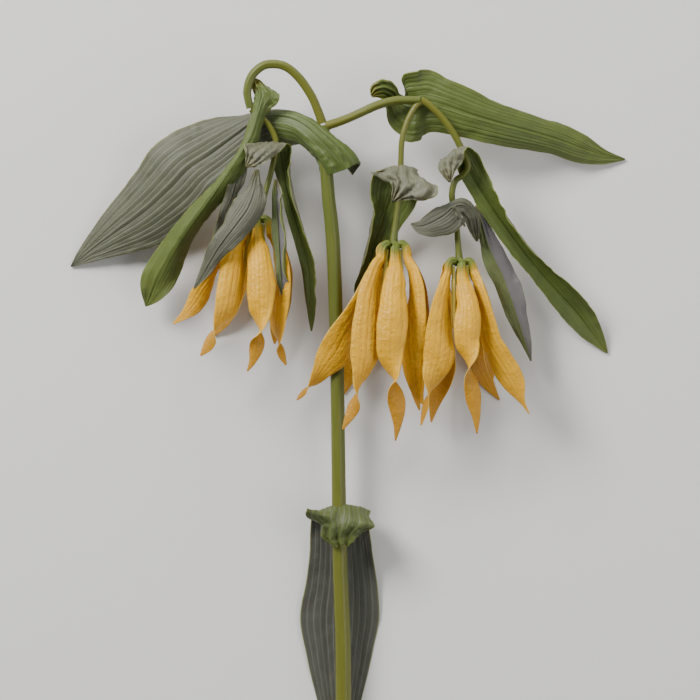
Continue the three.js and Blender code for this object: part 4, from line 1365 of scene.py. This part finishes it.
            [8.5, -29, -7, 0.2, 150, 0, 0],
        ],
        [
            [0.4, -2.7, -3.2, 1.5, 180, 0, -65],
            [1.4, -8, -7, 2.8, 180, 0, -50],
            [2.5, -14, -10, 3.4, 175, 0, -40],
            [3.8, -20, -12, 3.4, 170, 0, -30],
            [5.5, -25, -13, 2.8, 170, 0, -15],
            [7.3, -29.5, -13.4, 1.8, 175, 0, 0],
            [10.5, -34.3, -13.5, 0.2, 180, 0, 0],
        ],
    ],
}

LEAF_ROWS = {
    "left_pedicel_leaf": [
        [-25.2, 69.2, 19.4, 0.3, 0, 0, 0],
        [-24.0, 70.4, 19.6, [1.8, 1.8], 0, 0, 0],
        [-22.4, 72.0, 19.6, [4.4, 2.6], 0, 0, [10, 20]],
        [-20.8, 73.8, 18.6, [3.0, 3.4], 0, 0, [20, 40]],
        [-19.4, 75.2, 16.8, [2.6, 3.6], 0, 0, 40],
        [-18.0, 75.2, 14.6, [2.6, 3.4], 0, 0, 40],
        [-17.0, 73.4, 13.2, [2.8, 3.2], 0, 0, [20, 60]],
        [-16.2, 69.3, 13.4, [2.2, 3.2], 0, 0, [0, 110]],
        [-15.1, 63.8, 14.0, [1.9, 3.2], 0, 0, [-20, 130]],
        [-13.4, 57.5, 14.2, [1.8, 2.9], 0, 0, [-20, 130]],
        [-11.6, 51.3, 14.0, [1.7, 2.5], 0, 0, [-20, 120]],
        [-9.9, 44.5, 13.0, [1.8, 2.1], 0, 0, [-15, 90]],
        [-9.3, 38.3, 11.8, [1.6, 1.6], 0, 0, [-10, 60]],
        [-9.1, 32.5, 10.6, 0.9, 0, -10, 0],
        [-9.1, 28.5, 10, 0.2, 0, 0, 0],
    ],
    "left_front_leaf": [
        [-22.4, 68.3, 20.6, 0.5, 0, 0, 0],
        [-22.6, 66.3, 21.6, 1.3, 0, 0, -30],
        [-22.8, 63.8, 22.4, 2.6, 0, 0, -40],
        [-23.5, 61, 23, 3.6, 0, 0, -40],
        [-24.8, 58, 23.4, 4.2, 0, 0, -40],
        [-27.5, 54.3, 23.4, 3.9, 0, 0, -35],
        [-30.2, 51, 22.8, 2.9, 0, 0, -30],
        [-32.4, 48, 22, 2.3, 0, 0, -20],
        [-34.4, 44.8, 21, 1.8, 0, 0, -10],
        [-36.1, 42, 20, 1.1, 0, 0, 0],
        [-38.1, 39, 19, 0.2, 0, 0, 0],
    ],
    "left_back_leaf": [
        [-24.9, 72.6, 15.8, 0.5, 0, 0, 0],
        [-26.6, 68.8, 16, 1.5, -20, 0, -20],
        [-27.9, 65, 16, 1.9, -25, 0, -20],
        [-29.1, 61.3, 15.8, 1.8, -30, 0, -20],
        [-30.9, 57.5, 15.4, 1.4, -30, 0, -10],
        [-32.6, 53.3, 14.8, 0.8, -30, 0, 0],
        [-34.1, 47.5, 14, 0.2, -30, 0, 0],
    ],
    "left_side_leaf": [
        [-17.8, 66.2, 16.6, 0.4, 0, 0, 0],
        [-17.6, 61.3, 17.8, [1.3, 1.8], 0, 0, [-20, 120]],
        [-17.2, 56.3, 18.6, [1.6, 2.6], 0, 0, [-20, 130]],
        [-16.9, 51.3, 19, [1.8, 2.8], 0, 0, [-20, 130]],
        [-16.6, 45.8, 19, [1.5, 2.4], 0, 0, [-20, 120]],
        [-16.3, 41.3, 18.6, [1.2, 1.8], 0, 0, [-10, 100]],
        [-16.0, 37.5, 18, 0.8, 0, -20, 0],
        [-15.6, 33.8, 17.4, 0.2, 0, 0, 0],
    ],
    "left_long_leaf": [
        [-23.4, 91.2, 14.6, [0.5, 0.5], 0, 0, 0],
        [-22.6, 90.2, 15.0, [1.8, 1.6], 0, -10, -40],
        [-21.6, 88.6, 15.8, [3.0, 2.6], 0, -10, [-60, -30]],
        [-21.4, 87.0, 16.4, [3.4, 4.6], 0, -10, [-60, 20]],
        [-21.8, 85.2, 16.8, [3.4, 3.0], 0, -20, [-60, -20]],
        [-22.6, 82.6, 17.2, [3.6, 3.2], 8, -30, -60],
        [-24.2, 77.8, 17.8, 3.8, 20, -38, -40],
        [-26.6, 73.2, 18.2, 4.0, 26, -40, -30],
        [-29.6, 68.6, 18, 4.2, 20, -40, -30],
        [-32.6, 64.2, 17.6, 4.2, 12, -40, -30],
        [-35.6, 60, 16.8, 4.2, 5, -40, -30],
        [-40.6, 53.3, 14.8, 4.4, 0, -38, -25],
        [-44.4, 47.5, 12.2, 4.7, 0, -30, -15],
        [-47.6, 41.9, 9.2, 4.6, 0, -15, 0],
        [-49.6, 37.6, 6.8, 2.8, 0, 0, 20],
        [-51.0, 34.8, 5.6, 0.2, 0, 0, 0],
    ],
    "fork_leaf": [
        [-1.0, 68.6, 16.4, [12.4, 12.4], 0, 0, [-160, -155], [0.35, -0.3]],
        [-2.2, 70.6, 17.0, [12.0, 12.0], 0, 0, [-165, -165], [0.3, -0.25]],
        [-4.5, 73.4, 17.2, [10.8, 11.2], 0, 0, -170, [0.15, -0.1]],
        [-7.2, 76.2, 17.0, [9.4, 10.2], 0, 0, -170],
        [-9.8, 78.8, 16.2, [8.2, 9.4], 0, 0, [-170, -150]],
        [-12.6, 80.8, 15.0, [6.4, 9.0], 0, 0, [-165, -110]],
        [-15.8, 81.9, 13.6, [4.8, 9.2], 0, 0, [-150, -70]],
        [-19.6, 82.0, 12.4, [4.2, 9.0], 0, 0, [-130, -40]],
        [-23.6, 80.6, 11.6, [5.0, 8.6], 0, 0, [-90, -10]],
        [-27.8, 77.6, 11.0, [7.0, 8.2], 0, 0, [-40, 10]],
        [-34.0, 73.0, 10.4, [9.4, 8.6], 0, 0, [-24, 10]],
        [-39.6, 69.2, 10.4, [10.6, 10.2], 0, 0, [-28, 10]],
        [-44.4, 64.3, 9.4, [10.8, 10.6], 0, 0, [-28, 0]],
        [-51.4, 58.3, 6.8, [9, 8.8], 0, 0, [-24, -10]],
        [-59.4, 53, 3.9, 5.8, 0, 0, -14],
        [-65.9, 48.5, 1.8, 2.7, 0, 0, -6],
        [-70.4, 45, 0.45, 0.2, 0, 0, 0],
    ],
    "middle_leaf": [
        [11.0, 60.4, 19.4, 0.3, 0, 0, 0],
        [12.2, 62.2, 19.8, [1.6, 2.4], 0, 0, 20],
        [13.2, 63.8, 19.8, [2.8, 4.6], 0, 0, [20, 30], [0, 0.1]],
        [13.8, 65.6, 19.2, [4.0, 9.2], 0, 0, [20, -10], [0, 0.25]],
        [13.8, 67.4, 18.0, [8.2, 5.2], 0, 0, [-20, 30], [0, 0]],
        [13.6, 68.9, 16.4, [5.0, 4.2], 0, 0, [30, 40]],
        [13.2, 69.6, 14.2, [5.2, 4.6], 0, 0, [30, 40]],
        [12.4, 67.3, 11.6, [6.4, 6.0], 0, 0, [40, 40]],
        [11.1, 62.3, 9.6, [6.2, 6.6], 0, 0, [60, 30]],
        [8.9, 56.8, 7.4, [4.8, 5.0], 0, 0, [100, 20]],
        [6.9, 51.3, 5.8, [4.0, 4.0], 0, 0, [110, 15]],
        [5.6, 45.8, 4.8, [3.4, 3.4], 0, 0, [110, 10]],
        [4.4, 40.8, 3.8, [2.8, 2.8], 0, 0, [80, 0]],
        [2.9, 36.3, 3, 1.2, 0, 0, 0],
        [1.9, 33, 2.6, 0.2, 0, 0, 0],
    ],
    "right_long_leaf": [
        [25.4, 65.4, 18.8, 0.3, 0, 0, 0],
        [24.9, 67.6, 19.2, [1.6, 1.8], 0, 0, 0],
        [24.7, 69.9, 19.0, [2.6, 3.4], 0, 0, 30],
        [25.2, 72.0, 17.8, [2.6, 4.6], 0, 0, 50],
        [26.8, 72.4, 15.6, [2.6, 4.8], 0, 0, 50],
        [29.2, 70.4, 13.2, [3.0, 4.4], 0, 0, [30, 40]],
        [31.8, 66.2, 12.4, [3.2, 3.8], 0, 10, [20, 40]],
        [34.9, 61.5, 12.2, [3.4, 3.8], 0, 25, [10, 60]],
        [38.9, 55.8, 11.6, [3.4, 4.0], 0, 28, [10, 70]],
        [43.6, 49.5, 10.0, [3.6, 4.0], 0, 28, [10, 70]],
        [48.6, 43.5, 8.0, [3.8, 4.2], 0, 26, [10, 60]],
        [53.6, 38, 6.0, [4.2, 4.4], 0, 24, [10, 50]],
        [58.1, 33.3, 3.8, [4.0, 4.2], 0, 20, [0, 40]],
        [61.9, 28.5, 2, 2.8, 0, 15, 0],
        [64.4, 25.3, 1, 1.4, 0, 5, 0],
        [66.1, 23, 0.45, 0.2, 0, 0, 0],
    ],
    "right_bract_leaf": [
        [32.3, 50.8, 14.6, 0.3, 0, 0, 0],
        [32.0, 53.6, 15.4, [1.2, 1.6], 0, 0, 20],
        [31.2, 57.0, 16.6, [1.6, 2.4], 0, 0, -20],
        [29.2, 59.4, 17.6, [1.8, 3.0], 0, 0, -50],
        [26.6, 59.2, 18.0, [2.2, 4.0], 0, 0, -50],
        [24.0, 57.2, 17.8, [2.8, 5.0], 0, 0, -30],
        [20.8, 55.4, 17.2, [2.4, 3.8], 0, 0, -10],
        [18.2, 54.6, 16.5, [1.6, 2.2], 0, 0, 10],
        [15.8, 55.2, 16, 0.2, 0, 0, 0],
    ],
    "right_leaf_bud": [
        [26.4, 59.3, 19.0, 0.5, 0, 0, 0],
        [27.4, 57.5, 19.9, 0.7, 0, 0, 0],
        [28.4, 55.8, 20.1, 0.6, 0, 0, 0],
        [29.1, 54.3, 20, 0.2, 0, 0, 0],
    ],
    "right_hanging_leaf": [
        [31.6, 59.6, 13.6, 0.6, 0, 0, 0],
        [33.4, 56.8, 13, 1.4, 0, -10, 0],
        [34.6, 53, 12.5, 2.0, 0, -15, 0],
        [35.8, 49.5, 12, 2.6, 0, -20, 0],
        [37.4, 46, 11.5, 3.2, 0, -20, 0],
        [39.1, 42.8, 11, 3.4, 0, -20, 0],
        [40.4, 39.3, 10.5, 3.3, 0, -20, 0],
        [41.8, 35.5, 10, 3.1, 0, -20, 0],
        [43.0, 31.8, 9.5, 2.7, 0, -20, 0],
        [44.2, 28, 9, 2.0, 0, -15, 0],
        [45.2, 24.8, 8.5, 1.1, 0, -10, 0],
        [46.2, 21, 8, 0.2, 0, 0, 0],
    ],
    "right_broad_leaf": [
        [6.0, 87.2, 13.4, 0.4, 0, 0, 0],
        [7.2, 88.2, 13.6, [1.8, 2.2], 0, 0, [20, 40]],
        [9.0, 88.6, 13.2, [2.4, 2.6], 0, 0, [30, 50]],
        [10.8, 88.0, 12.2, [3.0, 2.4], 0, 0, [20, 20]],
        [12.4, 86.8, 11.6, [3.6, 1.4], 0, 0, -10, [0.3, 0]],
        [14.2, 86.0, 11.4, [6.8, 2.0], 0, 0, [-10, 10], [0.3, 0]],
        [15.4, 86.0, 11.6, [9.4, 6.6], 0, 0, [-10, 40], [0.2, 0.1]],
        [17.2, 86.2, 12, [10.2, 7.4], 0, 0, [-10, 30], [0.1, -0.2]],
        [20.0, 86.2, 12.4, [9.0, 7.8], 0, 0, [-20, -10]],
        [24.1, 85.2, 12.8, [7.6, 6.6], 0, 0, [-20, -20]],
        [30.6, 82.9, 12.6, [6.2, 5.8], 0, 0, [-25, -30]],
        [38.1, 80.8, 11.4, [5.6, 5.2], 0, 0, [-30, -40]],
        [45.6, 79, 9.2, 5.0, 0, 0, -40],
        [53.1, 77, 6.6, 4.6, 0, 0, -40],
        [59.4, 74.9, 4, [4.0, 3.4], 0, 0, -20],
        [64.9, 73.2, 1.8, [2.4, 1.6], 0, 0, -10],
        [70.6, 72.3, 0.45, 0.2, 0, 0, 0],
    ],
    "lower_leaf": [
        [-1.8, -25.4, 10.2, 2.6, 0, 0, 30],
        [-1.9, -24.4, 11.6, [5.4, 4.6], 0, 0, 50],
        [-1.8, -22.4, 12.6, [5.8, 5.2], 0, 0, 60],
        [-1.4, -20.2, 12.8, [6.2, 6.4], 0, 0, [50, 30]],
        [-1.0, -18.4, 12.2, [10.4, 8.2], 0, 0, [-40, 0], [0.1, 0.1]],
        [-0.8, -16.6, 10.6, [7.6, 6.6], 0, 0, [10, 30]],
        [-1.2, -15.4, 7.6, [7.2, 7.4], 0, 0, 30],
        [-1.9, -17, 4.6, 7.2, 0, 0, 30],
        [-1.9, -21.3, 3.2, 7.6, 0, 0, 15],
        [-1.6, -27.5, 2.2, 8.0, 0, 0, 8],
        [-1.6, -36.3, 1.2, 9.4, 0, 0, 0],
        [-2.1, -45, 0.45, 9.8, 0, 0, 0],
        [-2.1, -53.8, 0.45, 8.4, 0, 0, 0],
        [-2.1, -63.8, 0.45, 6.0, 0, 0, 0],
        [-2.1, -73.8, 0.45, 3.8, 0, 0, 0],
        [-2.4, -82.5, 0.45, 1.8, 0, 0, 0],
        [-2.4, -88.8, 0.45, 0.2, 0, 0, 0],
    ],
}
# Leaves that show their grey underside.
GREY_LEAVES = {
    "fork_leaf",
    "left_front_leaf",
    "left_back_leaf",
    "right_bract_leaf",
    "right_leaf_bud",
    "right_hanging_leaf",
}
# Leaves with a finish of their own, by its name in Materials.
OWN_FINISH = {
    "fork_leaf": "fork_leaf",
    "lower_leaf": "lower_leaf",
    "left_side_leaf": "two_tone_leaf",
    "right_hanging_leaf": "two_tone_leaf",
}
# The direction of the left half of leaves that climb over the stem.
ACROSS = {
    "left_pedicel_leaf": (-1.0, 0.0, 0.0),
    "middle_leaf": (-1.0, 0.0, 0.0),
    "lower_leaf": (-1.0, 0.0, 0.0),
    "right_long_leaf": (-0.7, -0.7, 0.0),
}
# Relief of each leaf that differs from the rest.
LEAF_RELIEF = {
    "default": Relief(),
    "left_long_leaf": Relief(crumple=4.0, crumple_size=3.0, crumple_reach=0.3, fold_depth=0.35),
    "fork_leaf": Relief(vein_count=7.0, vein_depth=0.07, crumple=1.6, fold_depth=0.45, fold_count=3.0),
    "middle_leaf": Relief(crumple=4.5, crumple_size=3.5, crumple_reach=0.45, fold_depth=0.55),
    "left_pedicel_leaf": Relief(crumple=4.0, crumple_size=3.0, crumple_reach=0.4, fold_depth=0.3),
    "right_long_leaf": Relief(crumple=4.0, crumple_size=3.0, crumple_reach=0.35, fold_depth=0.35),
    "right_broad_leaf": Relief(
        vein_depth=0.2, crumple=5.0, crumple_size=5.5, crumple_reach=0.5, fold_depth=0.6
    ),
    "lower_leaf": Relief(crumple=4.0, crumple_size=5.0, crumple_reach=0.4, fold_depth=0.5),
    "right_bract_leaf": Relief(crumple=2.0, crumple_reach=0.8, fold_depth=0.3),
}


# ---- Sub-assemblies ----


@dataclass
class Materials:
    """Every finish of the shoot, built once."""

    green_leaf: bpy.types.Material = field(default_factory=LEAF_GREEN.build)
    grey_leaf: bpy.types.Material = field(default_factory=LEAF_GREY.build)
    fork_leaf: bpy.types.Material = field(default_factory=FORK_LEAF.build)
    lower_leaf: bpy.types.Material = field(default_factory=LOWER_LEAF.build)
    two_tone_leaf: bpy.types.Material = field(default_factory=TWO_TONE_LEAF.build)
    tepal: bpy.types.Material = field(default_factory=TEPAL.build)
    stem: bpy.types.Material = field(default_factory=STEM.build)
    stamen: bpy.types.Material = field(default_factory=ANTHER.build)
    pistil: bpy.types.Material = field(default_factory=PISTIL.build)


@dataclass
class Stems:
    """The main stem, its branches and the flower stalks."""

    materials: Materials
    tree: bpy.types.NodeTree

    def build(self) -> list[bpy.types.Object]:
        """Makes every stem.

        Returns:
            The pieces.
        """
        pieces = []
        for k, (node, rows) in enumerate(STEM_ROWS.items()):
            stout = rows[0][3] > 1.0
            tube = Tube(
                node,
                "stem",
                rows,
                sides=36 if stout else 24,
                ridges=5.0 if stout else 3.0,
                ridge_depth=0.05 if stout else 0.03,
                seed=float(k),
                reach=0.0 if node == "main_stem" else JOINT_REACH,
            )
            pieces.append(tube.build(self.tree, self.materials.stem))
        return pieces


@dataclass
class Flower:
    """One drooping flower: six tepals round six stamens and a pistil."""

    name: str
    x: float
    y: float
    lean: float
    materials: Materials
    blade_tree: bpy.types.NodeTree
    round_tree: bpy.types.NodeTree
    stamen_count: int = 6
    stamen_ring: float = 1.9
    stamen_spread: float = 0.7
    anther_radius: float = 0.55
    filament_radius: float = 0.32

    def round_rows(self, start: np.ndarray, axis: np.ndarray, profile: list) -> list:
        """Lays a round body's profile along an axis.

        Args:
            start: Where the axis starts.
            axis: Its direction.
            profile: Distance along the axis and radius, row by row.

        Returns:
            Rows of x, y, z and radius.
        """
        return [[*(start + axis * along), radius] for along, radius in profile]

    def pouch_rows(self, first: list) -> list:
        """Lays out the knobby pouch at a tepal's base.

        Args:
            first: The tepal's first row, which says which way the tepal faces.

        Returns:
            The rows that take its place, from the flower stalk out.
        """
        dx, _, dz, _, roll, *_ = first
        out = math.hypot(dx, dz)
        return [
            [dx / out * ring, dy, dz / out * ring, width, roll, 0, curl]
            for ring, dy, width, curl in POUCH
        ]

    def build(self) -> list[bpy.types.Object]:
        """Makes the flower's pieces.

        Returns:
            The pieces.
        """
        base = np.array([self.x, self.y, FLOWER_HEIGHT])
        axis = unit(np.array([self.lean, -1.0, 0.0]))
        up = np.array([0.0, 0.0, 1.0])
        sideways = np.cross(axis, up)
        profile = [[1.0, 0.7], [2.2, 1.15], [5.2, 1.15], [7.2, 0.4], [12.0, 0.4], [15.5, 0.75]]
        pistil = Tube(
            f"{self.name}_pistil",
            "pistil",
            self.round_rows(base, axis, profile),
            ridges=3.0,
            ridge_depth=0.12,
        )
        pieces = [pistil.build(self.round_tree, self.materials.pistil)]
        thin, fat = self.filament_radius, self.anther_radius
        profile = [[0.6, thin], [4.0, thin], [4.8, fat], [14.6, fat], [16.0, 0.15]]
        for k in range(self.stamen_count):
            angle = 2 * math.pi * (k + 0.5) / self.stamen_count
            outward = sideways * math.cos(angle) + up * math.sin(angle)
            along = unit(axis * 14 + outward * self.stamen_spread)
            stamen = Tube(
                f"{self.name}_stamen_{k + 1}",
                "stamen",
                self.round_rows(base + outward * self.stamen_ring, along, profile),
                sides=16,
                ridges=2.0,
                ridge_depth=0.08,
                seed=k * 1.7,
            )
            pieces.append(stamen.build(self.round_tree, self.materials.stamen))
        relief = Relief(
            vein_count=3.0,
            vein_depth=0.06,
            fine_depth=0.02,
            midrib_depth=0.08,
            crumple=0.7,
            crumple_size=5.0,
            crumple_reach=1.0,
            fold_depth=0.06,
            ruffle=0.25,
            ruffle_waves=2.5,
        )
        for k, rows in enumerate(TEPAL_ROWS[self.name]):
            standing = [
                [self.x + dx, self.y + dy, FLOWER_HEIGHT + dz, *shape]
                for dx, dy, dz, *shape in self.pouch_rows(rows[0]) + rows[1:]
            ]
            tepal = Blade(
                f"{self.name}_tepal_{k + 1}",
                "tepal",
                standing,
                relief,
                thickness=0.35,
                detail=9,
                strips=14,
                seed=k + self.x,
                swell=0.8,
            )
            pieces.append(tepal.build(self.blade_tree, self.materials.tepal))
        return pieces


@dataclass
class Leaves:
    """The leaves, whose bases close round the stem."""

    materials: Materials
    tree: bpy.types.NodeTree

    def build(self) -> list[bpy.types.Object]:
        """Makes every leaf.

        Returns:
            The pieces.
        """
        pieces = []
        for k, (node, rows) in enumerate(LEAF_ROWS.items()):
            grey = node in GREY_LEAVES
            leaf = Blade(
                node,
                "grey_leaf" if grey else "green_leaf",
                rows,
                LEAF_RELIEF.get(node, LEAF_RELIEF["default"]),
                across=ACROSS.get(node),
                seed=float(k),
            )
            material = self.materials.grey_leaf if grey else self.materials.green_leaf
            material = getattr(self.materials, OWN_FINISH.get(node, ""), material)
            pieces.append(leaf.build(self.tree, material))
        return pieces


@dataclass(frozen=True)
class Studio:
    """A pale table, soft lamps and the camera that looks straight down."""

    table_half: float = 1.6
    lens_mm: float = 150.0
    camera_at: tuple = (0.0006, 0.02375, 0.743)

    def build(self) -> None:
        """Puts up the table, the lamps and the camera."""
        table = bpy.data.meshes.new("table")
        r = self.table_half
        table.from_pydata([(-r, -r, 0), (r, -r, 0), (r, r, 0), (-r, r, 0)], [], [(0, 1, 2, 3)])
        paper = bpy.data.materials.new("pale paper")
        paper.use_nodes = True
        paper.node_tree.nodes.clear()
        surface = add_node(
            paper.node_tree,
            "ShaderNodeBsdfPrincipled",
            inputs={"Base Color": srgb("#e4e2de"), "Roughness": 0.9},
        )
        add_node(paper.node_tree, "ShaderNodeOutputMaterial", inputs={"Surface": surface})
        table.materials.append(paper)
        floor = bpy.data.objects.new("table", table)
        bpy.context.scene.collection.objects.link(floor)
        self.lamp("key", (-0.6, 0.6, 0.6), 0.4, 15.0)
        self.lamp("fill", (0.7, -0.1, 0.6), 0.7, 4.0)
        self.lamp("back", (0.1, 0.8, 0.35), 0.5, 3.0)
        world = bpy.data.worlds.new("studio")
        bpy.context.scene.world = world
        world.use_nodes = True
        world.node_tree.nodes["Background"].inputs[0].default_value = srgb("#dfe3e8")
        world.node_tree.nodes["Background"].inputs[1].default_value = 0.28
        lens = bpy.data.cameras.new("camera")
        lens.lens = self.lens_mm
        lens.sensor_width = 36.0
        lens.clip_start = 0.01
        camera = bpy.data.objects.new("camera", lens)
        camera.location = self.camera_at
        bpy.context.scene.collection.objects.link(camera)
        bpy.context.scene.camera = camera

    def lamp(self, name: str, at: tuple, size: float, power: float) -> None:
        """Hangs one soft square lamp that faces the shoot.

        Args:
            name: The lamp's name.
            at: Where it hangs.
            size: Its width.
            power: Its power in watts.
        """
        light = bpy.data.lights.new(name, "AREA")
        light.size = size
        light.energy = power
        holder = bpy.data.objects.new(name, light)
        holder.location = at
        away = holder.location.copy()
        away.y -= 0.02
        holder.rotation_euler = away.to_track_quat("Z", "Y").to_euler()
        bpy.context.scene.collection.objects.link(holder)


def write_sizes() -> None:
    """Updates the view layer."""
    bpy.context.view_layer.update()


def main() -> None:
    """Builds the shoot piece by piece, then the studio."""
    logging.basicConfig(level=logging.INFO, format="%(name)s: %(message)s")
    materials = Materials()
    blade_tree, round_tree = relief_tree(), tube_tree()
    pieces = Stems(materials, round_tree).build()
    for name, x, y, lean in (
        ("left", -22.6, 55.8, -0.1),
        ("middle", 11.6, 49.5, -0.05),
        ("right", 28.1, 45.3, 0.05),
    ):
        pieces += Flower(name, x, y, lean, materials, blade_tree, round_tree).build()
    pieces += Leaves(materials, blade_tree).build()
    faces = sum(len(piece.data.polygons) for piece in pieces)
    LOG.info("%d pieces, %d faces", len(pieces), faces)
    Studio().build()
    write_sizes()


if __name__ == "__main__":
    main()
